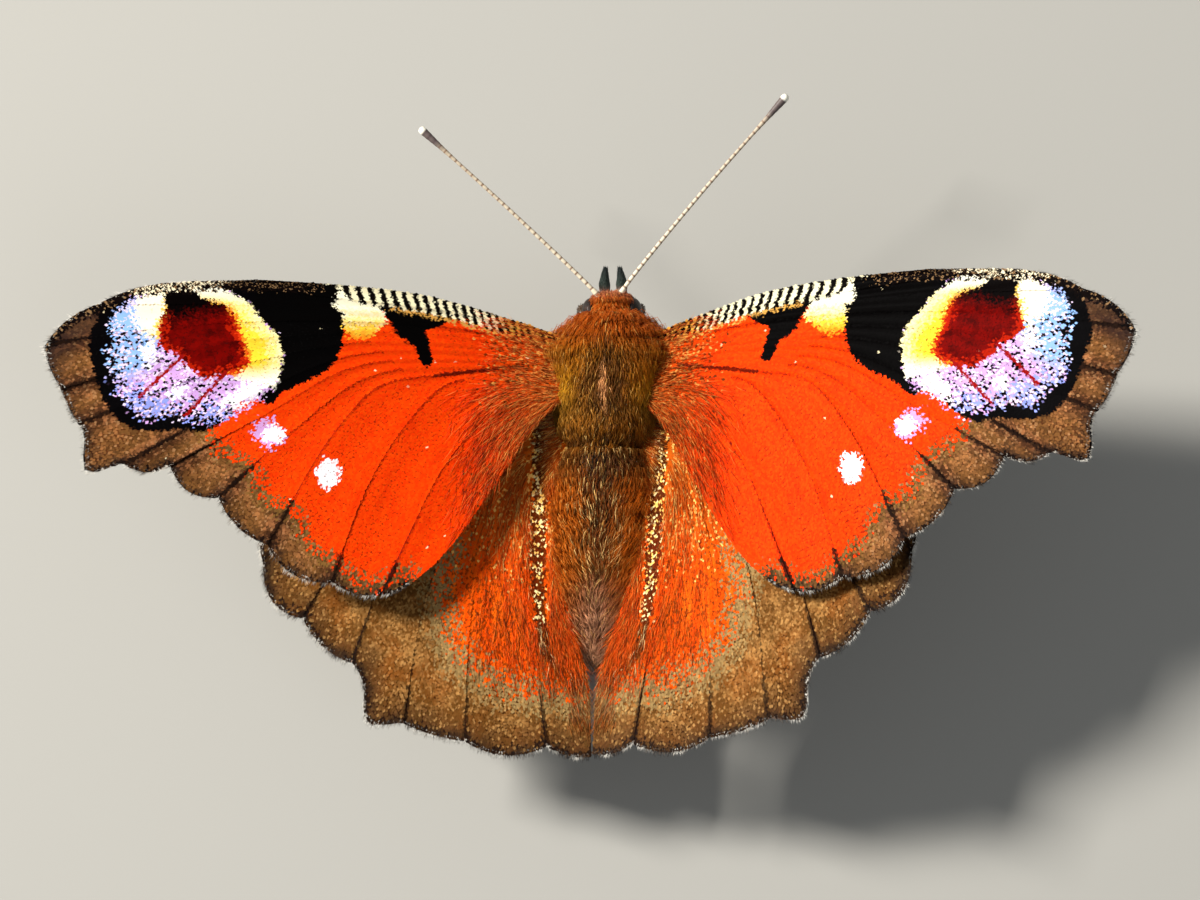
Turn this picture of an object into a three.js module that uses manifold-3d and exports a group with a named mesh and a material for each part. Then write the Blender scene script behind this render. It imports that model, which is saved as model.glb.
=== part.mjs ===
// Peacock butterfly, life size, at rest with its wings spread. Millimetres, Z up, head towards +Y.
// Body coordinates: the wing hinges are near z = 0 and the soles of the feet are at FLOOR.
import * as THREE from 'three';
import Module from 'manifold-3d';

const wasm = await Module();
wasm.setup();

// Wings: one flat planform for both sides, u outward and v forward from the hinge.
const MEMBRANE = 0.5;
const RIDGE = 0.2;
const RIDGE_HALF_WIDTH = 0.28;
const RAY_STEPS = 12;

// Each vein runs from the root through its bends to its end on the margin.
// bulge is how far the margin swells out beyond the straight line to the next vein's end,
// lean moves the swelling towards the next vein, and point sharpens it into a tooth.
// from is the share of the vein's length where its ridge begins.
const FOREWING = {
  base: [3.3, 0.3, 0.6],
  arch: { height: 1.0, span: 30 },
  root: [[-1.3, 0.1], [-1.3, -3.4]],
  veins: [
    { bends: [[2.5, 1.1], [7.0, 2.15], [11.9, 2.6]], end: [16.9, 2.74], from: 0, bulge: 0.02 },
    { bends: [[5.0, 1.2], [12.0, 1.8]], end: [21.5, 2.51], from: 0, bulge: 0.06 },
    { bends: [[5.0, 0.75], [12.0, 1.15], [19.0, 1.3]], end: [26.2, 1.12], from: 1, bulge: 0.12 },
    { bends: [[5.0, 0.3], [12.0, 0.5], [20.0, 0.1]], end: [29.15, -1.2], from: 0, bulge: 0.25, lean: 0.3 },
    { bends: [[5.0, -0.15], [12.0, -0.2], [20.0, -1.3]], end: [28.21, -3.93], from: 0.45, bulge: 0.06 },
    { bends: [[5.0, -0.6], [12.0, -0.9], [20.0, -3.0]], end: [27.15, -5.93], from: 0.4, bulge: 1.75,
      lean: 0.62, point: 1.6 },
    { bends: [[5.0, -1.05], [11.7, -1.6], [18.0, -4.6]], end: [24.46, -8.25], from: 0.4, bulge: 0.45 },
    { bends: [[5.0, -1.5], [11.2, -2.2], [16.4, -5.2]], end: [21.74, -8.27], from: 0.42, bulge: 0.7 },
    { bends: [[5.0, -1.95], [10.4, -2.75], [14.6, -6.0]], end: [18.86, -10.09], from: 0.42, bulge: 0.5 },
    { bends: [[2.8, -2.0], [6.3, -2.5], [9.7, -3.3], [12.4, -6.3]], end: [15.95, -12.83], from: 0,
      bulge: 0.75 },
    { bends: [[2.6, -2.4], [5.9, -3.1], [8.2, -5.6], [10.3, -9.3]], end: [12.2, -14.9], from: 0.3,
      bulge: 0.3 },
    { bends: [[1.3, -3.3], [3.8, -5.2], [6.1, -8.3], [7.7, -11.8]], end: [9.3, -15.55], from: 0, bulge: 0.1 },
    { bends: [[0.5, -5.1], [2.4, -8.1], [4.9, -11.95], [6.2, -13.55]], end: [7.7, -14.85], from: 1 },
  ],
};
const HINDWING = {
  base: [2.6, -2.5, -0.5],
  arch: { height: 0.6, span: 24 },
  root: [[-0.5, 0.0], [-0.5, -3.6]],
  veins: [
    { bends: [[3.4, 1.3], [8.2, 0.6], [12.8, -2.4], [15.7, -5.7]], end: [17.1, -8.4], from: 0, bulge: 0.2 },
    { bends: [[4.0, -0.3], [8.6, -2.0], [13.0, -5.6]], end: [17.09, -10.43], from: 0, bulge: 0.95,
      lean: 0.55 },
    { bends: [[3.9, -1.5], [8.0, -4.2], [11.6, -8.6]], end: [14.67, -13.81], from: 0.35, bulge: 0.45 },
    { bends: [[3.6, -2.6], [7.0, -6.0], [9.9, -11.0]], end: [11.75, -16.4], from: 0.35, bulge: 1.55,
      lean: 0.68, point: 1.5 },
    { bends: [[3.2, -3.6], [5.8, -7.6], [7.7, -13.2]], end: [8.66, -19.9], from: 0.35, bulge: 0.15 },
    { bends: [[2.6, -4.4], [4.3, -8.8], [5.0, -14.8]], end: [5.11, -20.84], from: 0, bulge: 0.7, lean: 0.5 },
    { bends: [[1.7, -5.0], [2.1, -9.8], [1.2, -15.2]], end: [0.37, -21.05], from: 0, bulge: 0.25 },
    { bends: [[0.4, -6.5], [0.1, -9.5], [-0.95, -14.0], [-1.95, -17.3]], end: [-2.2, -21.6], from: 1 },
  ],
};
// Pose of each wing in degrees: dihedral lifts the tip, twist turns it about its length, and
// sweep turns it forward.
const POSE = {
  forewing_left: { dihedral: 9.0, twist: 0.1, sweep: 0 },
  forewing_right: { dihedral: 18.2, twist: -1.6, sweep: -0.5 },
  hindwing_left: { dihedral: 4.9, twist: 0.1, sweep: 0 },
  hindwing_right: { dihedral: 18.7, twist: -2.6, sweep: -1.1 },
};

// Body sections: y, height of the centre, half width, half height.
// The body's middle line leans a little towards +x at the head.
const LEAN = 0.03;
const LEAN_FROM = -10;
const middleAt = (y) => LEAN * (y - LEAN_FROM);
const HEAD_X = middleAt(2.6) - 0.06;
const HEAD = [
  [1.9, -0.75, 1.05, 1.15], [2.35, -0.78, 1.3, 1.35], [2.9, -0.82, 1.35, 1.4],
  [3.4, -0.9, 1.05, 1.1], [3.75, -0.95, 0.55, 0.6],
];
const THORAX = [
  [1.6, -0.7, 1.75, 1.7], [1.1, -0.6, 2.25, 2.2], [0.4, -0.5, 2.85, 2.6], [-0.6, -0.4, 3.1, 2.8],
  [-1.8, -0.35, 3.15, 2.85], [-3.2, -0.4, 3.1, 2.8], [-4.7, -0.6, 2.9, 2.6], [-5.75, -0.75, 2.65, 2.35],
];
const ABDOMEN = [
  [-6.05, -0.8, 2.6, 2.3], [-7.5, -0.85, 2.75, 2.4], [-9.5, -0.95, 2.8, 2.4], [-12, -1.05, 2.55, 2.2],
  [-14.5, -1.15, 2.0, 1.85], [-16.5, -1.25, 1.35, 1.35], [-18, -1.35, 0.7, 0.8], [-18.9, -1.4, 0.25, 0.3],
];
const ABDOMEN_SEGMENTS = 8;
const GROOVE = 0.07;
const EYE = { x: 1.3, y: 2.7, z: -0.72, radii: [0.55, 0.78, 0.86] };
const GAP = 0.3;

const FLOOR = -8;
// Leg paths for the right side, from the hip to the toe, each point x, y, z and radius.
const LEGS = {
  foreleg: [[1.0, 0.3, -1.7, 0.34], [1.35, 0.75, -3.3, 0.34], [1.7, 2.7, -3.1, 0.3],
    [1.75, 3.05, -3.5, 0.28], [1.65, 1.5, -4.15, 0.25]],
  midleg: [[1.1, -0.9, -2.0, 0.5], [1.9, -0.6, -3.7, 0.45], [2.5, -0.35, -3.95, 0.42],
    [4.9, 0.75, -2.95, 0.36], [5.3, 1.0, -3.3, 0.33], [6.4, 1.95, -7.1, 0.27], [6.8, 2.3, -7.7, 0.27],
    [8.5, 3.75, -7.77, 0.26]],
  hindleg: [[1.1, -3.4, -2.0, 0.5], [1.9, -3.9, -3.6, 0.45], [2.4, -4.4, -3.85, 0.42],
    [4.6, -7.6, -3.0, 0.36], [4.9, -8.1, -3.3, 0.33], [6.0, -11.3, -7.1, 0.27], [6.2, -12.0, -7.7, 0.27],
    [7.1, -15.0, -7.77, 0.26]],
};
const PALP = [[0.5, 3.3, -1.3, 0.34], [0.5, 4.1, -1.0, 0.34], [0.42, 4.95, -0.55, 0.15]];
const ANTENNA = {
  left: [[-0.3, 2.9, -0.3], [-0.7, 3.35, -0.1], [-5.0, 7.35, 1.2], [-10.9, 12.6, 2.5]],
  right: [[0.7, 2.9, -0.3], [1.0, 3.4, -0.1], [5.55, 8.8, 1.2], [10.7, 14.45, 2.5]],
};
const ANTENNA_RADIUS = 0.25;
const CLUB_RADIUS = 0.36;
const CLUB_TIP = 0.22;
const PROBOSCIS = { y: 3.1, z: -3.5, outer: 1.0, inner: 0.38, turns: 0.9, radius: 0.25 };

const radians = THREE.MathUtils.degToRad;
const lerp = THREE.MathUtils.lerp;

function geometry(points, faces) {
  const g = new THREE.BufferGeometry();
  g.setAttribute('position', new THREE.Float32BufferAttribute(points.flat(), 3));
  g.setIndex(faces.flat());
  return g;
}

// Skins a run of rings of equal count; the first and last are closed with a flat fan.
function skin(rings) {
  const n = rings[0].length;
  const points = rings.flat();
  const faces = [];
  for (let k = 0; k + 1 < rings.length; k++)
    for (let i = 0; i < n; i++) {
      const a = k * n + i, b = k * n + (i + 1) % n, c = a + n, d = b + n;
      faces.push([a, b, d], [a, d, c]);
    }
  const middle = (ring) => ring.reduce((s, p) => s.map((v, j) => v + p[j] / n), [0, 0, 0]);
  const first = points.push(middle(rings[0])) - 1;
  const last = points.push(middle(rings[rings.length - 1])) - 1;
  const end = (rings.length - 1) * n;
  for (let i = 0; i < n; i++) {
    faces.push([first, (i + 1) % n, i]);
    faces.push([last, end + i, end + (i + 1) % n]);
  }
  return geometry(points, faces);
}

// A body section run along y, with grow added to every half width.
function loft(sections, sides, grow = 0) {
  const order = [...sections].sort((a, b) => a[0] - b[0]);
  return skin(order.map(([y, z, w, h], k) => {
    const reach = k === 0 ? -grow : k === order.length - 1 ? grow : 0;
    return Array.from({ length: sides }, (_, i) => {
      const a = -2 * Math.PI * i / sides;
      return [middleAt(y) + (w + grow) * Math.cos(a), y + reach, z + (h + grow) * Math.sin(a)];
    });
  }));
}

// Smooth sections between the given ones, with a shallow groove at the end of each segment.
function segmented(sections, segments) {
  const at = (t, j) => {
    const f = t * (sections.length - 1), i = Math.min(Math.floor(f), sections.length - 2);
    return lerp(sections[i][j], sections[i + 1][j], f - i);
  };
  const out = [];
  for (let k = 0; k <= segments; k++)
    for (const [shift, depth] of [[0, GROOVE], [0.25, 0], [0.6, 0]]) {
      const t = (k + shift) / segments;
      if (t > 1) continue;
      const cut = k === 0 || t === 1 ? 0 : depth;
      out.push([at(t, 0), at(t, 1), at(t, 2) - cut, at(t, 3) - cut]);
    }
  return out;
}

// A tube along points of x, y, z and radius, squashed flat where it meets the floor.
function tube(path, sides = 8) {
  const p = path.map((q) => new THREE.Vector3(...q));
  const up = new THREE.Vector3(0, 0, 1);
  const rings = p.map((c, k) => {
    const t = p[Math.min(k + 1, p.length - 1)].clone().sub(p[Math.max(k - 1, 0)]).normalize();
    const side = t.clone().cross(up);
    if (side.length() < 0.2) side.set(1, 0, 0);
    side.normalize();
    const top = t.clone().cross(side);
    return Array.from({ length: sides }, (_, i) => {
      const a = 2 * Math.PI * (i + 0.5) / sides, r = path[k][3];
      const q = c.clone().addScaledVector(side, r * Math.cos(a)).addScaledVector(top, r * Math.sin(a));
      return [q.x, q.y, Math.max(q.z, FLOOR)];
    });
  });
  return skin(rings);
}

function ellipsoid([x, y, z], [rx, ry, rz], sides = 20) {
  return new THREE.SphereGeometry(1, sides, sides / 2).scale(rx, ry, rz).translate(x, y, z);
}

function solid(g) {
  const s = g.index ? g.toNonIndexed() : g;
  const seen = new Map(), points = [], faces = [];
  const p = s.attributes.position.array;
  for (let i = 0; i < p.length; i += 3) {
    const key = [p[i], p[i + 1], p[i + 2]].map((v) => Math.round(v * 1e4)).join();
    if (!seen.has(key)) {
      seen.set(key, seen.size);
      points.push(p[i], p[i + 1], p[i + 2]);
    }
    faces.push(seen.get(key));
  }
  const kept = [];
  for (let i = 0; i < faces.length; i += 3)
    if (faces[i] !== faces[i + 1] && faces[i + 1] !== faces[i + 2] && faces[i] !== faces[i + 2])
      kept.push(faces[i], faces[i + 1], faces[i + 2]);
  return new wasm.Manifold(new wasm.Mesh({
    numProp: 3, vertProperties: new Float32Array(points), triVerts: new Uint32Array(kept),
  }));
}

// What is left of a after the tools are taken out of it, as its largest closed body.
function cut(a, ...tools) {
  let s = solid(a);
  for (const t of tools) s = s.subtract(solid(t));
  const m = s.decompose().sort((p, q) => q.volume() - p.volume())[0].getMesh();
  const g = new THREE.BufferGeometry();
  g.setAttribute('position', new THREE.BufferAttribute(new Float32Array(m.vertProperties), 3));
  g.setIndex(new THREE.BufferAttribute(new Uint32Array(m.triVerts), 1));
  return g;
}

// The grid lines of a wing from front to rear: the veins, and between each pair two lines
// beside the ridges and two that carry the swelling of the margin.
function wingLines({ root, veins }) {
  const rays = veins.map(({ bends, end }, i) => {
    const t = i / (veins.length - 1);
    const start = [lerp(root[0][0], root[1][0], t), lerp(root[0][1], root[1][1], t)];
    const curve = new THREE.CatmullRomCurve3(
      [start, ...bends, end].map(([u, v]) => new THREE.Vector3(u, v, 0)), false, 'centripetal');
    return curve.getSpacedPoints(RAY_STEPS);
  });
  const lines = [];
  veins.forEach((vein, i) => {
    const shares = i + 1 < veins.length ? [0, 'near', 0.36, 0.64, 'far'] : [0];
    for (const share of shares)
      lines.push(rays[i].map((p, k) => {
        const s = k / RAY_STEPS;
        if (share === 0) return { u: p.x, v: p.y, ridge: s >= vein.from ? RIDGE : 0 };
        const next = rays[i + 1][k];
        const beside = Math.min(0.2, RIDGE_HALF_WIDTH / p.distanceTo(next));
        const f = share === 'near' ? beside : share === 'far' ? 1 - beside : share;
        const q = p.clone().lerp(next, f);
        const lean = vein.lean ?? 0.5;
        const g = f ** (Math.log(0.5) / Math.log(lean));
        const swell = vein.bulge * Math.sin(Math.PI * g) ** (vein.point ?? 0.8) * Math.max(0, s * 6 - 5);
        const a = rays[i][RAY_STEPS], b = rays[i + 1][RAY_STEPS];
        const out = new THREE.Vector3(a.y - b.y, b.x - a.x, 0).normalize();
        return { u: q.x + out.x * swell, v: q.y + out.y * swell, ridge: 0 };
      }));
  });
  return lines;
}

function wing(form, side) {
  const { height, span } = form.arch;
  const lines = wingLines(form);
  const rows = lines.length, cols = RAY_STEPS + 1;
  const at = (i, k, face) => (face * rows + i) * cols + k;
  const points = [];
  for (const face of [0, 1])
    for (const line of lines)
      for (const { u, v, ridge } of line) {
        const r = Math.hypot(u, v) / span;
        const z = 4 * height * r * (1 - r) + (face ? -MEMBRANE / 2 : MEMBRANE / 2 + ridge);
        points.push([side * u, v, z]);
      }
  const faces = [];
  const quad = (a, b, c, d) => faces.push([a, b, c], [a, c, d]);
  for (let i = 0; i + 1 < rows; i++)
    for (let k = 0; k + 1 < cols; k++) {
      quad(at(i, k, 0), at(i + 1, k, 0), at(i + 1, k + 1, 0), at(i, k + 1, 0));
      quad(at(i, k, 1), at(i, k + 1, 1), at(i + 1, k + 1, 1), at(i + 1, k, 1));
    }
  for (let k = 0; k + 1 < cols; k++) {
    quad(at(0, k, 0), at(0, k + 1, 0), at(0, k + 1, 1), at(0, k, 1));
    quad(at(rows - 1, k, 0), at(rows - 1, k, 1), at(rows - 1, k + 1, 1), at(rows - 1, k + 1, 0));
  }
  for (let i = 0; i + 1 < rows; i++) {
    quad(at(i, 0, 0), at(i, 0, 1), at(i + 1, 0, 1), at(i + 1, 0, 0));
    quad(at(i, cols - 1, 0), at(i + 1, cols - 1, 0), at(i + 1, cols - 1, 1), at(i, cols - 1, 1));
  }
  return geometry(points, side < 0 ? faces.map(([a, b, c]) => [a, c, b]) : faces);
}

// Antenna: a thin shaft with a club over its last tenth.
function antenna(points) {
  const curve = new THREE.CatmullRomCurve3(points.map((p) => new THREE.Vector3(...p)));
  const stations = [0, 0.15, 0.3, 0.45, 0.6, 0.75, 0.86, 0.9, 0.94, 0.98, 1];
  return tube(stations.map((t) => {
    const p = curve.getPointAt(t);
    const club = Math.max(0, Math.min(1, (t - 0.86) / 0.06));
    return [p.x, p.y, p.z, t < 1 ? lerp(ANTENNA_RADIUS, CLUB_RADIUS, club) : CLUB_TIP];
  }));
}

function proboscis() {
  const { y, z, outer, inner, turns, radius } = PROBOSCIS;
  const steps = 26, sides = 8;
  return skin(Array.from({ length: steps + 1 }, (_, k) => {
    const a = Math.PI / 2 + 2 * Math.PI * turns * k / steps;
    const r = lerp(outer, inner, k / steps);
    return Array.from({ length: sides }, (_, i) => {
      const b = 2 * Math.PI * i / sides;
      const reach = r + radius * Math.cos(b);
      return [HEAD_X + radius * Math.sin(b), y - reach * Math.cos(a), z + reach * Math.sin(a)];
    });
  }));
}

const COLOURS = {
  membrane: new THREE.MeshStandardMaterial({ color: '#a8401c', roughness: 0.8 }),
  fur: new THREE.MeshStandardMaterial({ color: '#5b4026', roughness: 0.9 }),
  horn: new THREE.MeshStandardMaterial({ color: '#3a2a1c', roughness: 0.6 }),
  eye: new THREE.MeshStandardMaterial({ color: '#17100c', roughness: 0.25 }),
};

const pose = new THREE.Group();
function add(name, g, material) {
  const mesh = new THREE.Mesh(g, COLOURS[material]);
  mesh.name = name;
  pose.add(mesh);
  return mesh;
}

const around = (grow) => loft(THORAX, 28, grow);
const eyeAt = (side, grow) =>
  ellipsoid([HEAD_X + side * EYE.x, EYE.y, EYE.z], EYE.radii.map((r) => r + grow));
const belly = loft(ABDOMEN, 24, GAP);
add('thorax', around(0), 'fur');
add('abdomen', loft(segmented(ABDOMEN, ABDOMEN_SEGMENTS), 24), 'fur');
add('head', cut(loft(HEAD, 24), eyeAt(-1, GAP), eyeAt(1, GAP)), 'fur');
add('proboscis', proboscis(), 'horn');

for (const [name, side] of [['left', -1], ['right', 1]]) {
  add(`eye_${name}`, eyeAt(side, 0), 'eye');
  const skull = loft(HEAD, 24, GAP);
  add(`palp_${name}`, cut(tube(PALP.map(([x, ...rest]) => [HEAD_X + side * x, ...rest])), skull), 'fur');
  add(`antenna_${name}`, cut(antenna(ANTENNA[name]), skull), 'horn');
  for (const [leg, path] of Object.entries(LEGS))
    add(`${leg}_${name}`, cut(tube(path.map(([x, ...rest]) => [side * x, ...rest])), around(GAP)), 'horn');
  for (const [kind, form] of [['forewing', FOREWING], ['hindwing', HINDWING]]) {
    const { dihedral, twist, sweep } = POSE[`${kind}_${name}`];
    const [x, y, z] = form.base;
    const place = new THREE.Object3D();
    place.position.set(side * x, y, z);
    place.rotation.set(radians(twist), -side * radians(dihedral), side * radians(sweep), 'ZYX');
    place.updateMatrix();
    const blade = wing(form, side).applyMatrix4(place.matrix);
    add(`${kind}_${name}`, cut(blade, around(GAP), belly), 'membrane');
  }
}

// Stands the insect on its feet, with its bounding box centred on the origin.
pose.updateMatrixWorld(true);
const box = new THREE.Box3().setFromObject(pose, true);
const middle = box.getCenter(new THREE.Vector3());
pose.position.set(-middle.x, -middle.y, -FLOOR);
const butterfly = new THREE.Group();
butterfly.add(pose);
export default butterfly;
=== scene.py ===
import math

import bmesh
import bpy
import numpy as np
from mathutils import Matrix, Vector


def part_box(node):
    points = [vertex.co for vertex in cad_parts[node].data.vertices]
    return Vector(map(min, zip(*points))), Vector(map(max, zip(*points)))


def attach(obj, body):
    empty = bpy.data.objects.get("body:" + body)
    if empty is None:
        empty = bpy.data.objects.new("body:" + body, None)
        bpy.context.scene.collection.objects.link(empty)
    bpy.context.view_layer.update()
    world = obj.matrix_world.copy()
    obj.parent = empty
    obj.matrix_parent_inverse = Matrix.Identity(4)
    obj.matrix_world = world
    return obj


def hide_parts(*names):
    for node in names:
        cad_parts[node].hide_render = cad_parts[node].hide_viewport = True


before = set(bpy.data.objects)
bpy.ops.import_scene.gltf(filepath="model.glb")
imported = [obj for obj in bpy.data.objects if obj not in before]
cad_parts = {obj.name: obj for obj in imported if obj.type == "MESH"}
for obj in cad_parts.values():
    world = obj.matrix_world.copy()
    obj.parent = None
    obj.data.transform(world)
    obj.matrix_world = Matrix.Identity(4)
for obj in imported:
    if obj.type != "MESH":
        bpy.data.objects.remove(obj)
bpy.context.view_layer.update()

# Peacock butterfly (Aglais io), life size, standing with its wings spread, seen from above.
# Camera. It stands about a third of a metre above the insect, a little behind it and to its right,
# and looks almost straight down. Body coordinates start at the wing hinges, 8 mm above the soles.
MM = 0.001
low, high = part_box("thorax")
HINGE = Vector(((low[0] + high[0]) / 2 - 0.2395 * MM, (low[1] + high[1]) / 2 + 2.075 * MM, 8 * MM))
TURN = Matrix.Rotation(math.radians(1.06), 3, "Z").inverted()
for angle, axis in ((-12.28, "X"), (-5.72, "Y")):
    TURN = TURN @ Matrix.Rotation(math.radians(angle), 3, axis)
distance, pixels_per_mm, picture_width, sensor_width = 350, 17.1, 1200, 36
eye_point = Vector((0, 0, distance)) * MM
aim_point = Vector((-0.276, -6.06, 0)) * MM
back = (eye_point - aim_point).normalized()
right = Vector((0, 1, 0)).cross(back).normalized()
axes = Matrix((right, back.cross(right), back)).transposed()
camera = bpy.data.objects.new("camera", bpy.data.cameras.new("camera"))
seat = Matrix.Translation(HINGE + TURN.inverted() @ eye_point)
camera.matrix_world = seat @ (TURN.inverted() @ axes).to_4x4()
camera.data.lens = pixels_per_mm * distance / picture_width * sensor_width
camera.data.clip_start = 0.01
bpy.context.collection.objects.link(camera)
bpy.context.scene.camera = camera
bpy.context.scene.view_settings.view_transform = "Standard"


# Studio. A pale sweep of painted board under the insect, one soft lamp high at the upper left,
# and a broad weak fill from the other side.
def shader(name, **values):
    material = bpy.data.materials.new(name)
    material.use_nodes = True
    bsdf = material.node_tree.nodes["Principled BSDF"]
    for key, value in values.items():
        bsdf.inputs[key.replace("_", " ")].default_value = value
    return material, material.node_tree, bsdf


def paint(code):
    """A colour written as six digits to linear shares of red, green and blue."""
    parts = [int(code[i:i + 2], 16) / 255 for i in (0, 2, 4)]
    return [c / 12.92 if c < 0.04045 else ((c + 0.055) / 1.055) ** 2.4 for c in parts] + [1.0]


board = bmesh.new()
bmesh.ops.create_grid(board, x_segments=1, y_segments=1, size=0.7)
floor = bpy.data.objects.new("floor", bpy.data.meshes.new("floor"))
board.to_mesh(floor.data)
board.free()
bpy.context.collection.objects.link(floor)
board_paint, tree, bsdf = shader("board_paint", Roughness=0.85)
grain = tree.nodes.new("ShaderNodeTexNoise")
grain.inputs["Scale"].default_value = 9
tint = tree.nodes.new("ShaderNodeValToRGB")
tint.color_ramp.elements[0].color = paint("a5a39d")
tint.color_ramp.elements[1].color = paint("adaba4")
tree.links.new(grain.outputs["Fac"], tint.inputs[0])
tree.links.new(tint.outputs[0], bsdf.inputs["Base Color"])
floor.data.materials.append(board_paint)

for name, place, size, power, colour in (
        ("key", (-0.49, 0.19, 0.46), 0.14, 9.4, (1.0, 0.97, 0.92)),
        ("fill", (0.30, -0.35, 0.55), 0.50, 0.8, (0.93, 0.96, 1.0))):
    lamp = bpy.data.objects.new(name, bpy.data.lights.new(name, "AREA"))
    lamp.location = place
    lamp.rotation_euler = (-lamp.location).to_track_quat("-Z", "Y").to_euler()
    lamp.data.size, lamp.data.energy, lamp.data.color = size, power, colour
    bpy.context.collection.objects.link(lamp)
sky = bpy.data.worlds.new("sky")
sky.use_nodes = True
sky.node_tree.nodes["Background"].inputs[0].default_value = (0.9, 0.95, 1.0, 1)
sky.node_tree.nodes["Background"].inputs[1].default_value = 0.20
bpy.context.scene.world = sky


# Wing frames. Each wing is a thin membrane stretched between veins that run from the hinge to the
# margin: bends, end, where the ridge starts as a share of the length, then how the margin swells
# out before the next vein (bulge, lean towards that vein, and how pointed the swelling is).
FORE = dict(base=(3.3, 0.3, 0.6), arch=(1.0, 30.0), root=((-1.3, 0.1), (-1.3, -3.4)), veins=(
    (((2.5, 1.1), (7.0, 2.15), (11.9, 2.6)), (16.9, 2.74), 0, 0.02, 0.5, 0.8),
    (((5.0, 1.2), (12.0, 1.8)), (21.5, 2.51), 0, 0.36, 0.55, 0.8),
    (((5.0, 0.75), (12.0, 1.15), (19.0, 1.3)), (26.2, 1.12), 1, 0.42, 0.5, 0.8),
    (((5.0, 0.3), (12.0, 0.5), (20.0, 0.1)), (29.15, -1.2), 0, 0.25, 0.3, 0.8),
    (((5.0, -0.15), (12.0, -0.2), (20.0, -1.3)), (28.21, -3.93), 0.45, 0.06, 0.5, 0.8),
    (((5.0, -0.6), (12.0, -0.9), (20.0, -3.0)), (27.15, -5.93), 0.4, 1.75, 0.62, 1.6),
    (((5.0, -1.05), (11.7, -1.6), (18.0, -4.6)), (24.46, -8.25), 0.4, 0.45, 0.5, 0.8),
    (((5.0, -1.5), (11.2, -2.2), (16.4, -5.2)), (21.74, -8.27), 0.42, 0.7, 0.5, 0.8),
    (((5.0, -1.95), (10.4, -2.75), (14.6, -6.0)), (18.86, -10.09), 0.42, 0.5, 0.5, 0.8),
    (((2.8, -2.0), (6.3, -2.5), (9.7, -3.3), (12.4, -6.3)), (15.95, -12.83), 0, 0.75, 0.5, 0.8),
    (((2.6, -2.4), (5.9, -3.1), (8.2, -5.6), (10.3, -9.3)), (12.2, -14.9), 0.3, 0.3, 0.5, 0.8),
    (((1.3, -3.3), (3.8, -5.2), (6.1, -8.3), (7.7, -11.8)), (9.3, -15.55), 0, 0.1, 0.5, 0.8),
    (((0.5, -5.1), (2.4, -8.1), (4.9, -11.95), (6.2, -13.55)), (7.7, -14.85), 1, 0, 0.5, 0.8)))
HIND = dict(base=(2.6, -2.5, -0.5), arch=(0.6, 24.0), root=((-0.5, 0.0), (-0.5, -3.6)), veins=(
    (((3.4, 1.3), (8.2, 0.6), (12.8, -2.4), (15.7, -5.7)), (17.1, -8.4), 0, 0.2, 0.5, 0.8),
    (((4.0, -0.3), (8.6, -2.0), (13.0, -5.6)), (17.09, -10.43), 0, 0.95, 0.55, 0.8),
    (((3.9, -1.5), (8.0, -4.2), (11.6, -8.6)), (14.67, -13.81), 0.35, 0.45, 0.5, 0.8),
    (((3.6, -2.6), (7.0, -6.0), (9.9, -11.0)), (11.75, -16.4), 0.35, 1.55, 0.68, 1.5),
    (((3.2, -3.6), (5.8, -7.6), (7.7, -13.2)), (8.66, -19.9), 0.35, 0.15, 0.5, 0.8),
    (((2.6, -4.4), (4.3, -8.8), (5.0, -14.8)), (5.11, -20.84), 0, 0.7, 0.5, 0.8),
    (((1.7, -5.0), (2.1, -9.8), (1.2, -15.2)), (0.37, -21.05), 0, 0.25, 0.5, 0.8),
    (((0.4, -6.5), (0.1, -9.5), (-0.95, -14.0), (-1.95, -17.3)), (-2.2, -21.6), 1, 0, 0.5, 0.8)))
POSE = {"forewing_left": (9.0, 0.1, 0.0), "forewing_right": (18.2, -1.6, -0.5),
        "hindwing_left": (4.9, 0.1, 0.0), "hindwing_right": (18.7, -2.6, -1.1)}
STEPS = 96
MAPS = {"Planform": (5, 25, 40), "Root": (15, 22, 30)}


def course(points, count):
    """Even steps along a smooth curve through the points."""
    p = np.array(points, float)
    p = np.vstack([2 * p[0] - p[1], p, 2 * p[-1] - p[-2]])
    run = []
    for a, b, c, d in zip(p, p[1:], p[2:], p[3:]):
        t1 = np.linalg.norm(b - a) ** 0.5
        t2 = t1 + np.linalg.norm(c - b) ** 0.5
        t3 = t2 + np.linalg.norm(d - c) ** 0.5
        t = np.linspace(t1, t2, 24, endpoint=False)[:, None]
        ab, cd = a + (b - a) * t / t1, c + (d - c) * (t - t2) / (t3 - t2)
        bc = b + (c - b) * (t - t1) / (t2 - t1)
        abc, bcd = ab + (bc - ab) * t / t2, bc + (cd - bc) * (t - t1) / (t3 - t1)
        run.append(abc + (bcd - abc) * (t - t1) / (t2 - t1))
    run = np.vstack(run + [p[-2:-1]])
    along = np.concatenate([[0], np.cumsum(np.linalg.norm(np.diff(run, axis=0), axis=1))])
    even = np.linspace(0, along[-1], count)
    return np.stack([np.interp(even, along, run[:, k]) for k in range(p.shape[1])], axis=1)


for form in (FORE, HIND):
    veins, (front, rear) = form["veins"], np.array(form["root"])
    roots = [front + (rear - front) * i / (len(veins) - 1) for i in range(len(veins))]
    form["rays"] = np.array([course([r, *v[0], v[1]], STEPS + 1) for r, v in zip(roots, veins)])
    form["length"] = np.array([np.linalg.norm(np.diff(r, axis=0), axis=1).sum() for r in form["rays"]])
    form["tune"] = np.array([v[2:] for v in veins], float)


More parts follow.
